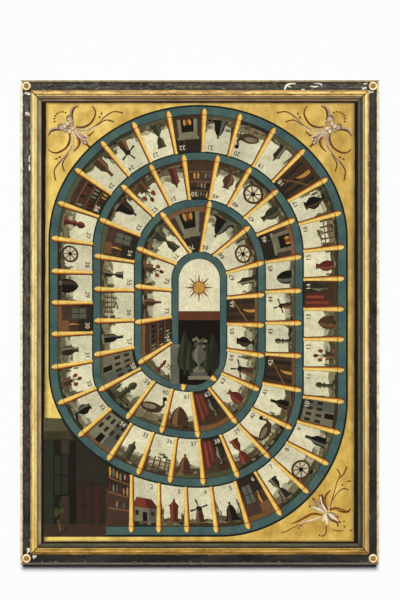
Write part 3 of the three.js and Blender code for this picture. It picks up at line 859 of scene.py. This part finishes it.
def cottage(pen):
    pen.panel(-0.42, 0, 0.42, 0.5, STONE)
    pen.panel(0.14, 0, 0.42, 0.5, SLATE, 2)
    pen.shape([(-0.52, 0.46), (0.52, 0.46), (0.24, 0.8), (-0.3, 0.8)], WINE)
    pen.shape([(-0.52, 0.46), (0.1, 0.46), (0.0, 0.8), (-0.3, 0.8)], BRICK)
    pen.panel(-0.08, 0, 0.08, 0.32, INK, 1)
    for side in (-0.28, 0.28):
        pen.panel(side - 0.06, 0.2, side + 0.06, 0.36, DUSK, 1)


def windmill(pen):
    pen.shape([(-0.2, 0), (0.2, 0), (0.12, 0.62), (-0.12, 0.62)], UMBER)
    pen.shape([(-0.2, 0), (-0.04, 0), (-0.03, 0.62), (-0.12, 0.62)], SIENNA)
    pen.blob(0, 0.64, 0.14, 0.1, INK, 0.05)
    for turn in range(4):
        angle = math.radians(20 + 90 * turn)
        tip = (0.42 * math.cos(angle), 0.64 + 0.42 * math.sin(angle))
        pen.stroke([(0, 0.64), tip], (0.03, 0.08, 0.09), DUSK)


def tower(pen):
    pen.panel(-0.2, 0, 0.2, 0.8, STONE)
    pen.panel(0.04, 0, 0.2, 0.8, SLATE, 2)
    for side in (-0.18, 0.0, 0.18):
        pen.panel(side - 0.06, 0.8, side + 0.06, 0.9, STONE, 1)
    for level in (0.22, 0.52):
        pen.panel(-0.06, level, 0.03, level + 0.14, INK, 1)


def wheel(pen):
    pen.blob(0, 0.4, 0.4, 0.4, UMBER, 0.02, 18)
    pen.blob(0, 0.4, 0.31, 0.31, shade(IVORY, 0.8), 0.02, 18)
    for turn in range(4):
        angle = math.pi * turn / 4
        x, y = 0.34 * math.cos(angle), 0.34 * math.sin(angle)
        pen.stroke([(-x, 0.4 - y), (x, 0.4 + y)], 0.05, SIENNA)
    pen.blob(0, 0.4, 0.09, 0.09, INK, 0.05)


def boat(pen):
    pen.shape([(-0.3, 0.06), (0.3, 0.06), (0.46, 0.24), (-0.44, 0.22)], UMBER)
    pen.shape([(-0.34, 0.14), (0.38, 0.15), (0.46, 0.24), (-0.44, 0.22)], SIENNA)
    pen.stroke([(0, 0.2), (0, 0.95)], (0.05, 0.04, 0.03), INK)
    pen.shape([(0.03, 0.3), (0.36, 0.34), (0.03, 0.9)], STONE)
    pen.shape([(-0.03, 0.32), (-0.3, 0.34), (-0.03, 0.8)], BRICK)


def tulips(pen):
    for lean, tint in ((-0.2, BRICK), (0.0, WINE), (0.22, BRICK)):
        top = (lean, 0.84 - abs(lean))
        pen.stroke([(0, 0.3), (lean * 0.4, 0.55), top], (0.05, 0.04, 0.04), MOSS)
        pen.blob(*top, 0.09, 0.12, tint, 0.1, 8)
    pen.turned(POT, UMBER, SIENNA)


def fence(pen):
    for post in range(5):
        x = -0.5 + post * 0.25
        pen.panel(x - 0.03, 0, x + 0.03, 0.5 + 0.05 * (post % 2), UMBER, 1)
    for rail in (0.16, 0.36):
        pen.stroke([(-0.56, rail), (0, rail + 0.02), (0.56, rail)], 0.05, SIENNA)
    foliage(pen, 0.1, 0.6, 0.3, 0.2, 8)


def mushroom(pen):
    pen.shape([(-0.09, 0), (0.1, 0), (0.06, 0.42), (-0.06, 0.42)], STONE)
    cap = [(0.38 * math.cos(a), 0.4 + 0.32 * math.sin(a)) for a in np.linspace(0, math.pi, 12)]
    pen.shape(cap, WINE)
    pen.shape([(x * 0.8 - 0.04, 0.42 + (y - 0.4) * 0.8) for x, y in cap], BRICK)


MOTIFS = (goose, cottage, windmill, tower, wheel, boat, tulips, tree, fence, mushroom)


# Pictures in the spaces


class SpacePen(Pen):
    """A pen for one space of the track, in which x runs with the track and y inward from the band."""

    def __init__(self, layer, start, end, seed):
        centre = (start + end) / 2
        self.wide = np.hypot(*(along(middle, end) - along(middle, start)))
        self.deep = np.hypot(*(along(foot, centre) - along(band_edge, centre)))

        def place(x, y):
            at = min(max(centre + (end - start) * x / self.wide, start), end)
            near, far = along(band_edge, at), along(foot, at)
            return near + (far - near) * (y / self.deep)

        super().__init__(layer, place, PICTURE_LIFT, seed)

    def part(self, left, low, right, high, *rest):
        """A panel whose place is given in parts of the space's width and depth."""
        self.panel(left * self.wide, low * self.deep, right * self.wide, high * self.deep, *rest)

    def dab(self, x, y, wide, high, *rest):
        """A blob that is given in such parts too."""
        self.blob(x * self.wide, y * self.deep, wide * self.wide, high * self.deep, *rest)

    def stand(self, x, y, size):
        """The pen for a motif that stands in the space; its size is a part of the depth."""
        return self.inside(x * self.wide, y * self.deep, size * self.deep)


def meadow(pen):
    """Distance, leaves, ground and tufts of an outdoor picture."""
    dice, wide, deep = pen.dice, pen.wide, pen.deep
    if dice.random() < 0.8:
        far = dice.uniform(0.26, 0.44)
        pen.part(-0.5, 0, 0.5, far, HAZE, 8, deep * 0.05)
        for _ in range(7):
            x, y = dice.uniform(-0.48, 0.48), far * dice.uniform(0.7, 1.0)
            pen.dab(x, y, 0.1, 0.045, dice.choice((SAGE, HAZE, STONE)), 0.35, 8)
    for side in (-1, 1):
        if dice.random() < 0.72:
            tall = deep * dice.uniform(0.2, 0.44)
            foliage(pen, side * wide * 0.42, tall * 0.75, wide * 0.12, tall, 15)
    pen.part(-0.5, 0, 0.5, dice.uniform(0.15, 0.28), dice.choice(EARTHS), 9, 1.8)
    pen.part(-0.5, 0, 0.5, 0.09, dice.choice((DUSK, MOSS, UMBER, OLIVE)), 9, 1.4)
    for _ in range(8):
        x, y = dice.uniform(-0.46, 0.46), dice.uniform(0.05, 0.17)
        pen.dab(x, y, 0.08, 0.03, dice.choice((SIENNA, OLIVE, INK, SAGE) + EARTHS), 0.4, 7)
    for _ in range(5):
        x = dice.uniform(-0.46, 0.46) * wide
        tuft = [(x, deep * 0.12), (x + dice.uniform(-1.5, 1.5), deep * dice.uniform(0.2, 0.28))]
        pen.stroke(tuft, (0.9, 0.7, 0.3), dice.choice((MOSS, OLIVE)))


def outdoor_picture(pen, number):
    meadow(pen)
    size = pen.dice.uniform(0.56, 0.68)
    spot = pen.stand(pen.dice.uniform(-0.1, 0.06), 0.11, size)
    if number % 2 == 0:
        MOTIFS[number // 2 % len(MOTIFS)](spot)
    else:
        form = TURNED_FORMS[number * 3 // 2 % len(TURNED_FORMS)]
        spot.turned(form, *COATS[number * 5 // 2 % len(COATS)])


def window_room(pen):
    left, low, right, high = -0.32 * pen.wide, 0.4 * pen.deep, 0.0, 0.82 * pen.deep
    centre_x, centre_y = (left + right) / 2, (low + high) / 2
    pen.panel(left - 1.5, low - 1.5, right + 1.5, high + 1.5, UMBER)
    pen.panel(left, low, right, high, SLATE)
    for bar in ([(centre_x, low), (centre_x, high)], [(left, centre_y), (right, centre_y)]):
        pen.stroke(bar, 1.2, INK)
    pen.part(0.06, 0.12, 0.4, 0.32, SIENNA)
    pen.stand(0.22, 0.32, 0.36).turned(JUG, UMBER, OCHRE)


def curtain_room(pen):
    for fold in range(5):
        x = 0.09 * fold - 0.42
        pen.part(x, 0.2 + 0.07 * fold, x + 0.09, 0.94, (WINE, BRICK)[fold % 2], 2, 1.0)
    pen.part(0, 0.12, 0.4, 0.3, UMBER)
    pen.stand(0.2, 0.3, 0.5).turned(URN, DUSK, STONE)


def shelf_room(pen):
    for level in (0.28, 0.54, 0.78):
        pen.part(-0.4, level, 0.4, level + 0.03, SIENNA)
        for jar in range(6):
            tint = pen.dice.choice((STONE, UMBER, WINE, SLATE, OCHRE, INK))
            tall = pen.dice.uniform(0.06, 0.09)
            pen.dab(0.135 * jar - 0.34, level + 0.04 + tall, 1.9 / pen.wide, tall, tint, 0.15, 8)


def hearth_room(pen):
    pen.part(-0.3, 0.1, 0.3, 0.6, STONE)
    pen.part(-0.36, 0.58, 0.36, 0.66, SAGE)
    pen.part(-0.19, 0.1, 0.19, 0.46, INK)
    for flame, tint in ((-0.08, OCHRE), (0.08, OCHRE), (0.0, BRICK)):
        pen.dab(flame, 0.19, 2.0 / pen.wide, 0.09, tint, 0.25, 8)
    pen.stand(0.18, 0.66, 0.22).turned(BOTTLE, INK, SLATE)


def house_front(pen):
    pen.part(-0.47, 0.08, 0.47, 0.95, STONE)
    pen.part(0.1, 0.08, 0.47, 0.95, SLATE, 3)
    for row in (0.42, 0.7):
        for column in (-0.3, -0.08, 0.14, 0.36):
            pen.part(column - 0.06, row, column + 0.05, row + 0.16, DUSK, 1)
    pen.part(-0.14, 0.08, 0.04, 0.34, INK, 2)


def barn(pen):
    for beam in range(7):
        x = 0.13 * beam - 0.44
        pen.part(x, 0.1, x + 0.12, 0.92, (UMBER, DUSK)[beam % 2], 2)
    brace = [(x * pen.wide, y * pen.deep) for x, y in ((-0.44, 0.3), (0, 0.6), (0.44, 0.86))]
    pen.stroke(brace, 2.4, SIENNA)
    pen.stand(0.05, 0.1, 0.5).turned(BEEHIVE, UMBER, OCHRE)


ROOMS = (shelf_room, window_room, house_front, curtain_room, barn, hearth_room)


def indoor_picture(pen, number):
    top = 1 + 1 / pen.deep
    pen.part(-0.5, 0, 0.5, top, rgb(66, 50, 42), 8)
    pen.part(-0.5, 0.6, 0.5, top, DUSK, 8, pen.deep * 0.03)
    pen.part(-0.5, 0, 0.5, 0.12, pen.dice.choice((SIENNA, UMBER, OLIVE)), 8, 0.8)
    ROOMS[number // 4 % len(ROOMS)](pen)


def is_indoor(number):
    return number == 1 or (number % 4 == 2 and number > 2)


def paint_pictures(layer):
    for number, start, end in spaces:
        picture = indoor_picture if is_indoor(number) else outdoor_picture
        picture(SpacePen(layer, start, end, 100 + number), number)


# Numbers of the spaces

NUMBER_HIGH = 7.8
NUMBER_PLACE = 0.74
NUMBER_FOOT = 4.0


def number_shell(text):
    """Points and faces of a number in the plain built-in letter, centred, as one closed shell."""
    curve = bpy.data.curves.new("number", "FONT")
    curve.body = text
    curve.size = NUMBER_HIGH * 1.35
    curve.extrude = 0.2
    curve.resolution_u = 3
    curve.align_x = "CENTER"
    curve.align_y = "CENTER"
    holder = bpy.data.objects.new("number", curve)
    bpy.context.collection.objects.link(holder)
    shaped = holder.evaluated_get(bpy.context.evaluated_depsgraph_get()).to_mesh()
    shell = bmesh.new()
    shell.from_mesh(shaped)
    bmesh.ops.remove_doubles(shell, verts=shell.verts, dist=0.001)
    shell.verts.index_update()
    points = [tuple(vertex.co) for vertex in shell.verts]
    faces = [[vertex.index for vertex in face.verts] for face in shell.faces]
    shell.free()
    bpy.data.objects.remove(holder)
    bpy.data.curves.remove(curve)
    return points, faces


def paint_numbers(layer):
    for number, start, end in spaces:
        at = start + (end - start) * NUMBER_PLACE
        near, far = along(band_edge, at), along(foot, at)
        up = (far - near) / np.hypot(*(far - near))
        side = np.array([up[1], -up[0]])
        centre = far - up * (NUMBER_HIGH * 0.5 + NUMBER_FOOT)
        points, faces = number_shell(str(number))
        placed = [(*(centre + side * x + up * y), NUMBER_BASE + z) for x, y, z in points]
        layer.add(placed, faces, [CREAM if is_indoor(number) else UMBER] * len(faces))


# Ornament of the gold corners: p and q are the distances from the two edges of the corner

CORNER_INSET_P, CORNER_INSET_Q = 7, 3
BRIGHT_BROWN = rgb(188, 112, 44)


def smooth(points, steps=6):
    """A flowing line through the points."""
    ends = np.array([points[0], *points, points[-1]], float)
    line = []
    for p, q, r, s in zip(ends, ends[1:], ends[2:], ends[3:]):
        for t in np.arange(steps) / steps:
            bend = (2 * p - 5 * q + 4 * r - s) * t ** 2 + (3 * q - p - 3 * r + s) * t ** 3
            line.append((2 * q + (r - p) * t + bend) / 2)
    return np.array(line + [ends[-1]])


def ring_point(p, q, radius, degrees):
    return p + radius * math.cos(math.radians(degrees)), q + radius * math.sin(math.radians(degrees))


def arc(p, q, radius, start, end):
    return [ring_point(p, q, radius, degrees) for degrees in np.linspace(start, end, 20)]


def spray_arm(pen):
    """One side of the spray: an open scroll, leaves that trail along the edge, buds and an inner leaf."""
    pen.stroke(smooth([(53, 2), (44, 9), (42, 21), (47, 35)]), (1.2, 5.0, 2.4), LILAC)
    pen.stroke(smooth([(55, 4), (47, 9), (44, 19), (46, 28)]), (1.2, 3.6, 1.2), LEAF_BROWN)
    scroll = smooth([(50, 39), (62, 40), (74, 34), (82, 21), (82, 11), (77, 4)])
    pen.stroke(scroll[:18] + (-1.6, 2.2), (1.0, 2.6, 0.8), LILAC)
    pen.stroke(scroll, (2.4, 3.2, 1.6), LEAF_BROWN)
    pen.stroke(scroll[4:14] + (-0.6, -1.4), (0.6, 1.4, 0.5), SIENNA)
    trail = smooth([(52, 44), (70, 44), (88, 33), (99, 22), (113, 14), (129, 16)])
    pen.stroke(trail[:-8] + (0, 1.4), (1.6, 4.0, 0.8), LILAC)
    pen.stroke(trail[4:-12] + (0, 2.2), (0.6, 1.8, 0.5), PETAL)
    pen.stroke(trail[6:], (0.8, 1.8, 2.4), LEAF_BROWN)
    pen.stroke(smooth([(84, 38), (100, 28), (114, 31)]), (0.8, 2.2, 2.0), LEAF_BROWN)
    for bud in ((90, 23), (93, 17)):
        pen.blob(*bud, 1.5, 2.4, LEAF_BROWN, 0.2, 8, 0.4)
    leaf = smooth([(47, 49), (58, 54), (70, 55), (81, 46)])
    pen.stroke(leaf, (1.8, 5.6, 1.0), LEAF_BROWN)
    pen.stroke(leaf[1:-3] + (0, -1.4), (0.8, 3.0, 0.6), rgb(196, 122, 44))
    for spread, tint in ((0.0, CREAM), (4.0, LILAC), (8.0, PETAL)):
        tip = (57 + spread * 1.6, 72 - spread * 0.4)
        pen.stroke(smooth([(45 + spread * 0.3, 48), (51 + spread, 59), tip]), (1.2, 3.6, 1.2), tint)
        pen.stroke(smooth([(49 + spread, 55), (54 + spread * 1.2, 64)]), (0.3, 1.0, 0.3), LEAF_BROWN)
    pen.stroke(smooth([(58, 60), (67, 64), (72, 74)]), (0.8, 2.0, 2.4), LEAF_BROWN)
    pen.blob(39, 25, 5.4, 4.6, LILAC, 0.2, 12, 0.5)
    pen.stroke(arc(39, 25, 4.6, 150, 330), (0.8, 2.2, 0.8), LEAF_BROWN)
    pen.stroke(arc(39, 25, 2.4, -20, 140), (0.6, 1.8, 0.6), PETAL)


def blossom(pen):
    for angle in range(0, 360, 60):
        spot, turn = ring_point(38, 40, 6.5, angle + 15), math.radians(angle + 15)
        pen.blob(*spot, 5.2, 3.6, LEAF_BROWN, 0.1, 11, turn)
        pen.blob(*spot, 4.3, 2.8, (PETAL, CREAM, LILAC)[angle // 60 % 3], 0.12, 11, turn)
    pen.stroke(arc(38, 40, 3.4, 30, 300), (0.8, 1.6, 0.8), SIENNA)
    pen.blob(38, 40, 2.4, 2.4, OCHRE, 0.1, 9)


def scroll_spray(pen):
    """Two arms and a row of dots; the second arm is the first one seen across the diagonal."""
    spray_arm(pen)
    spray_arm(pen.through(lambda p, q: (q, p)))
    for angle in range(165, 300, 22):
        pen.blob(*ring_point(27, 27, 13, angle), 1.8, 1.5, LEAF_BROWN, 0.15, 8)
    blossom(pen)


def leaf_spray(pen):
    """An open spray without scrolls: two long stems, their side leaves, a broad leaf, petals and a tail."""
    petals = ((75, 59, CREAM), (69, 72, LILAC), (57, 78, PETAL), (25, 40, LILAC), (22, 31, PETAL))
    for p, q, tint in petals:
        petal = smooth([(45, 47), ((p + 47) / 2, (q + 50) / 2), (p, q)])
        pen.stroke(petal, (2.0, 7.0, 2.4), LEAF_BROWN)
        pen.stroke(petal[:-2], (1.4, 5.6, 2.4), tint)
    for p, q, tint in ((52, 33, CREAM), (45, 24, PETAL), (37, 31, LILAC)):
        pen.stroke(smooth([(45, 47), ((p + 46) / 2, 40), (p, q)]), (2.0, 6.0, 1.6), tint)
    pen.stroke(smooth([(54, 41), (74, 34), (92, 28)]), (1.6, 3.4, 1.0), PETAL)
    strokes = (
        ((1.6, 1.4, 2.8), (39, 53), (37, 66), (31, 87), (26, 103), (17, 112), (11, 125)),
        ((1.0, 2.0, 1.8), (36, 68), (27, 81), (17, 88), (8, 86)),
        ((1.0, 1.8, 2.2), (24, 106), (23, 113), (28, 121)),
        ((2.0, 2.0, 1.0), (11, 100), (3, 101)),
        ((2.4, 6.4, 1.2), (40, 52), (31, 55), (19, 51), (9, 50), (5, 56)),
        ((2.0, 5.6, 1.8), (53, 79), (50, 66), (43, 52)),
        ((1.2, 4.4, 1.4), (38, 86), (46, 77), (48, 67), (44, 55)),
        ((2.4, 4.8, 0.8), (53, 44), (66, 46), (78, 42), (92, 34), (105, 29)),
        ((0.8, 1.6, 1.4), (74, 33), (99, 24), (111, 17), (121, 14)),
        ((2.0, 1.6, 2.0), (45, 27), (47, 12), (54, 8)),
        ((1.4, 3.4, 2.0), (44, 44), (38, 36), (28, 31), (26, 24)),
        ((0.8, 1.8, 1.0), (36, 20), (26, 17), (17, 18)),
    )
    for widths, *line in strokes:
        pen.stroke(smooth(line), widths, LEAF_BROWN)
    veins = (((34, 55), (20, 52), (9, 51)), ((47, 76), (49, 67), (45, 58)), ((62, 46), (78, 43), (90, 36)))
    for line in veins:
        pen.stroke(smooth(line), (0.6, 2.0, 0.6), BRIGHT_BROWN)
    for dot in ((5, 18), (88, 26), (92, 22), (57, 10), (16, 33), (15, 24), (19, 94)):
        pen.blob(*dot, 1.7, 1.5, LEAF_BROWN, 0.2, 8)


def paint_spray(layer, flip_x, flip_y, spray, seed):
    """Foliage in one gold corner."""

    def place(p, q):
        return flip_x * (SIGHT_X - CORNER_INSET_P - p), flip_y * (SIGHT_Y - CORNER_INSET_Q - q)

    spray(Pen(layer, place, ORNAMENT_LIFT, seed))


# Centre oval

SHELF_LOW, SHELF_HIGH = 3.0, 18.0
PIER_TOP = -42.0
PIER_COURSES = 6
COURSE_HIGH = (PIER_TOP - CENTRE_END_Y) / PIER_COURSES
COURSE_GAP = 0.6
OVAL_LEFT = LEFT[3] + BAND_WIDE_END
RAYS = 16


def paint_sun(pen):
    for ray in range(RAYS):
        reach, tint = ((0.9, SIENNA), (0.66, OCHRE))[ray % 2]
        spine = [ring_point(0, 0, radius, 360 * ray / RAYS) for radius in (0.3, reach)]
        pen.stroke(spine, (0.16, 0.09, 0.02), tint)
    pen.blob(0, 0, 0.4, 0.4, UMBER, 0.02, 20)
    pen.blob(0, 0, 0.36, 0.36, OCHRE, 0.02, 20)


def paint_centre(layer):
    """Sun over a dark evening garden with an urn between cypresses, inside the centre oval."""
    begin = next(i for i in range(last, len(contour)) if band_edge[i][0] > OVAL_LEFT)
    oval = band_edge[begin:]
    pen = Pen(layer, on_face, ORNAMENT_LIFT, seed=41)
    pen.shape(oval, IVORY)
    pen.shape([point for point in oval if point[1] <= SHELF_LOW + 2], INK)
    level = [x for x, y in oval if abs(y - SHELF_LOW) < 2 * TRACK_STEP]
    left, right = min(level), max(level)
    pen.panel(left, SHELF_LOW, right, SHELF_HIGH, rgb(96, 54, 38))
    for edge in (SHELF_LOW, SHELF_HIGH):
        pen.stroke([(left, edge), (right, edge)], 1.2, INK)
    paint_sun(pen.inside(TOP_X, 58, 26))
    for x, tall in ((-25, 76), (-16, 58), (22, 70), (13, 56)):
        pen.inside(x, -88, tall).turned(CYPRESS, rgb(34, 37, 27), rgb(56, 56, 38))
    for step in range(3):
        half, low = 18 - 4 * step, -96 + 6 * step
        pen.panel(TOP_X - half, low, TOP_X + half, low + 6, (STONE, SLATE)[step % 2])
    pen.inside(TOP_X, -79, 46).turned(URN, SLATE, STONE)
    foliage(pen, TOP_X, -34, 10, 12, 16)
    pen.level[0] = PIER_LIFT
    pier_x = LEFT[3] - OUTLINE_END
    for course in range(PIER_COURSES):
        low = CENTRE_END_Y + COURSE_HIGH * course
        pen.panel(pier_x, low, OVAL_LEFT + 1, low + COURSE_HIGH - COURSE_GAP, rgb(94, 95, 84), 2)
    pen.panel(pier_x - 1, PIER_TOP, OVAL_LEFT + 3, PIER_TOP + 5, STONE, 2)


# Start corner

ROOM_TOP = -160.0
ROOM_LEFT = -SIGHT_X + 3
ROOM_LOW = BOTTOM[0]
WINDOW_LEFT, WINDOW_LOW, WINDOW_RIGHT, WINDOW_TOP = -244, -290, -220, -222
BAR_WIDE = 1.6
SHRUB_X = -232
CUPBOARD = (rgb(40, 43, 34), rgb(30, 27, 22), rgb(54, 46, 38), rgb(30, 27, 22))
CURTAIN = (rgb(58, 38, 33), rgb(47, 33, 29))
SHRUB = (MOSS, rgb(66, 66, 44), rgb(58, 50, 34))


def paint_start(layer):
    """A dark room in the lower left corner, with a curtain, a window and a potted shrub."""
    left, low, right = ROOM_LEFT, ROOM_LOW, TRACK_START_X + 1
    pen = Pen(layer, on_face, START_LIFT, seed=51)
    edge = [tuple(p) for p in contour if p[0] < TRACK_START_X and p[1] < ROOM_TOP]
    corners = [(right, edge[-1][1]), (right, low), (left, low)]
    pen.shape([(left, ROOM_TOP)] + edge + corners, rgb(46, 43, 35))
    pen.shape([(left, -182), (-220, -182), (-233, -161), (left, -161)], rgb(84, 80, 60))
    pen.shape([(left, -196), (-213, -196), (-220, -182), (left, -182)], rgb(62, 60, 40))
    for column, tint in enumerate(CUPBOARD):
        x = left + 4 + column * 13
        pen.panel(x, low + 22, x + 12, -198, tint, 2)
    pen.panel(left, low, TRACK_START_X, low + 22, rgb(58, 44, 36), 6, 0.8)
    pen.panel(WINDOW_LEFT, WINDOW_LOW, WINDOW_RIGHT, WINDOW_TOP, rgb(40, 42, 36))
    for x in np.linspace(WINDOW_LEFT, WINDOW_RIGHT, 3):
        pen.stroke([(x, WINDOW_LOW), (x, WINDOW_TOP)], BAR_WIDE, INK)
    for y in np.linspace(WINDOW_LOW, WINDOW_TOP, 3):
        pen.stroke([(WINDOW_LEFT, y), (WINDOW_RIGHT, y)], BAR_WIDE, INK)
    for fold in range(6):
        x = -206 + fold * 7.5
        pen.panel(x, low + 30 - 2 * fold, x + 7.5, -272, CURTAIN[fold % 2], 2)
    pen.panel(-208, -276, -160, -268, DUSK)
    pen.inside(SHRUB_X, low + 10, 34).turned(POT, UMBER, SIENNA)
    for dab in range(22):
        spot = (SHRUB_X + pen.dice.gauss(0, 5), low + 38 + pen.dice.gauss(0, 10))
        pen.blob(*spot, 3.6, 4.6, SHRUB[dab % 3], 0.3, 8)


# Painted rebate shadow, and losses

UNDER_LIP = 2


def paint_margins(layer):
    """A black strip along the rebate, wider at the sides: a painted shadow of the frame's sight edge on the
    board.
    """
    dice = random.Random(61)
    # Painted shadow: black strips under the sight edge, first on the two sides, then on the two ends.
    for side, foot_wide, head_wide in ((-1, 3.2, 7.4), (1, 6.4, 5.2)):
        inner = []
        for part in np.linspace(0, 1, 60):
            wide = foot_wide + (head_wide - foot_wide) * part + dice.uniform(-0.5, 0.5)
            inner.append((side * (SIGHT_X - wide), SIGHT_Y * (2 * part - 1)))
        outer = [(side * (SIGHT_X + UNDER_LIP), y) for _, y in inner]
        layer.ribbon(*(inner, outer)[::-side], [INK] * 59, SIDE_MARGIN_TOP)
    for side, wide in ((-1, 2.4), (1, 2.2)):
        across = np.linspace(-SIGHT_X, SIGHT_X, 50)
        inner = [(x, side * (SIGHT_Y - wide - dice.uniform(-0.4, 0.4))) for x in across]
        outer = [(x, side * (SIGHT_Y + UNDER_LIP)) for x in across]
        layer.ribbon(*(inner, outer)[::side], [shade(INK, 1.4)] * 49, END_MARGIN_TOP)


def paint_losses(layer):
    """Chips in the black stain where white gesso shows, near the bosses and along the top."""
    pen = Pen(layer, on_face, LOSS_LIFT, seed=71)
    top = BOARD_Y - 10.5
    scratches = (
        ((2.6, 3.6, 1.6), (142, top - 5), (145, top + 1.5), (151, top + 4.4), (161, top + 5)),
        ((1.0, 1.6, 0.8), (147, top + 0.4), (153, top - 0.8)),
        ((0.8, 1.8, 1.4), (191, top + 5.4), (199, top + 5), (204, top + 3.4), (203, top + 1)),
        ((1.0, 2.2, 1.2), (185, top + 0.8), (191, top - 0.4), (198, top + 0.2)),
        ((0.8, 1.6, 0.8), (170, top - 5), (176, top - 4.8)),
    )
    for widths, *line in scratches:
        pen.stroke(smooth(line), widths, GESSO)
    patches = (
        (-BOARD_X + 10.5, BOARD_Y - 21, 6.0, 3.0), (-BOARD_X + 11, BOARD_Y - 56, 4.0, 2.6),
        (-BOARD_X + 15, BOARD_Y - 131, 1.2, 5.0), (-BOARD_X + 15, BOARD_Y - 147, 1.2, 5.0),
        (-BOARD_X + 13, -BOARD_Y + 23, 3.0, 3.6), (-BOARD_X + 24, -BOARD_Y + 13, 3.4, 1.8),
        (BOARD_X - 14, BOARD_Y - 20, 4.4, 2.0), (BOARD_X - 24, BOARD_Y - 14, 4.0, 1.6),
        (BOARD_X - 23, BOARD_Y - 6, 3.6, 0.9),
    )
    for x, y, wide, high in patches:
        for _ in range(18):
            spot = (x + pen.dice.gauss(0, 0.5) * wide, y + pen.dice.gauss(0, 0.6) * high)
            size = pen.dice.uniform(0.14, 0.5)
            pen.blob(*spot, wide * size, high * size, between(GESSO, ROSE, pen.dice.uniform(0, 0.3)), 0.3, 9)


# The whole painting


def painted(painter, *names, base=FACE_TOP, slot="painted_ground"):
    """Has a painter fill layers of those names, and builds them."""
    layers = [Layer(name, base) for name in names]
    painter(*layers)
    for layer in layers:
        layer.build(slot)


painted(paint_field, "track_field")
painted(paint_band, "track_band", "band_outlines")
painted(paint_batons, "batons", "baton_shadows")
painted(paint_pictures, "space_pictures")
painted(paint_numbers, "space_numbers")
painted(lambda layer: paint_spray(layer, -1, 1, scroll_spray, seed=31), "spray_top_left")
painted(lambda layer: paint_spray(layer, 1, 1, scroll_spray, seed=32), "spray_top_right")
painted(lambda layer: paint_spray(layer, 1, -1, leaf_spray, seed=33), "spray_bottom_right")
painted(paint_centre, "centre_picture")
painted(paint_start, "start_picture")
painted(paint_margins, "painted_rebate_shadow")
painted(paint_losses, "gesso_losses", base=FRIEZE_TOP, slot="ebonised_wood")


# Floor, light and camera

FLOOR_SIZE = 8.0
FLOOR_DROP = 0.5
SURROUNDINGS = 0.03
LAMP_ENERGY = 3.39
LAMP_SOFT, LAMP_TILT = math.radians(18), math.radians(-24)
CAMERA_AWAY = 3000.0
VIEW_HIGH = 1004.0
VIEW_CENTRE = (0.4, 37.3)
SENSOR_HIGH = 36.0


def make_floor():
    """A pale floor that reads as white and keeps the board's shadow."""
    bpy.ops.mesh.primitive_plane_add(size=FLOOR_SIZE, location=(0, 0, -FLOOR_DROP * MM))
    floor = bpy.context.object
    floor.name = "floor"
    material = bpy.data.materials.new("floor_white")
    material.use_nodes = True
    graph = Graph(material.node_tree)
    graph.tree.nodes.remove(graph.tree.nodes["Principled BSDF"])
    matt = graph.node("BsdfDiffuse", {"Color": (0.96, 0.96, 0.96, 1)})
    graph.put(graph.tree.nodes["Material Output"].inputs["Surface"], matt)
    floor.data.materials.append(material)


def make_light():
    """Even surroundings, white where they are seen, and one soft lamp high over the board's top edge."""
    world = bpy.data.worlds.new("studio")
    bpy.context.scene.world = world
    world.use_nodes = True
    graph = Graph(world.node_tree)
    seen = graph.node("LightPath", {}, "Is Camera Ray")
    for ray in ("Is Glossy Ray", "Is Transmission Ray"):
        seen = seen.most(graph.node("LightPath", {}, ray))
    background = graph.tree.nodes["Background"].inputs
    background["Color"].default_value = (1, 1, 1, 1)
    graph.put(background["Strength"], seen.fade(0, 1, 1.0, SURROUNDINGS))
    lamp = bpy.data.lights.new("key", "SUN")
    lamp.energy = LAMP_ENERGY
    lamp.angle = LAMP_SOFT
    key = bpy.data.objects.new("key", lamp)
    key.rotation_euler = (LAMP_TILT, 0, 0)
    bpy.context.collection.objects.link(key)


def make_camera():
    lens = bpy.data.cameras.new("camera")
    lens.sensor_fit = "VERTICAL"
    lens.sensor_height = SENSOR_HIGH
    lens.lens = SENSOR_HIGH * CAMERA_AWAY / VIEW_HIGH
    camera = bpy.data.objects.new("camera", lens)
    camera.location = (VIEW_CENTRE[0] * MM, VIEW_CENTRE[1] * MM, (FRIEZE_TOP + CAMERA_AWAY) * MM)
    bpy.context.collection.objects.link(camera)
    bpy.context.scene.camera = camera


make_floor()
make_light()
make_camera()
bpy.context.scene.view_settings.view_transform = "Standard"
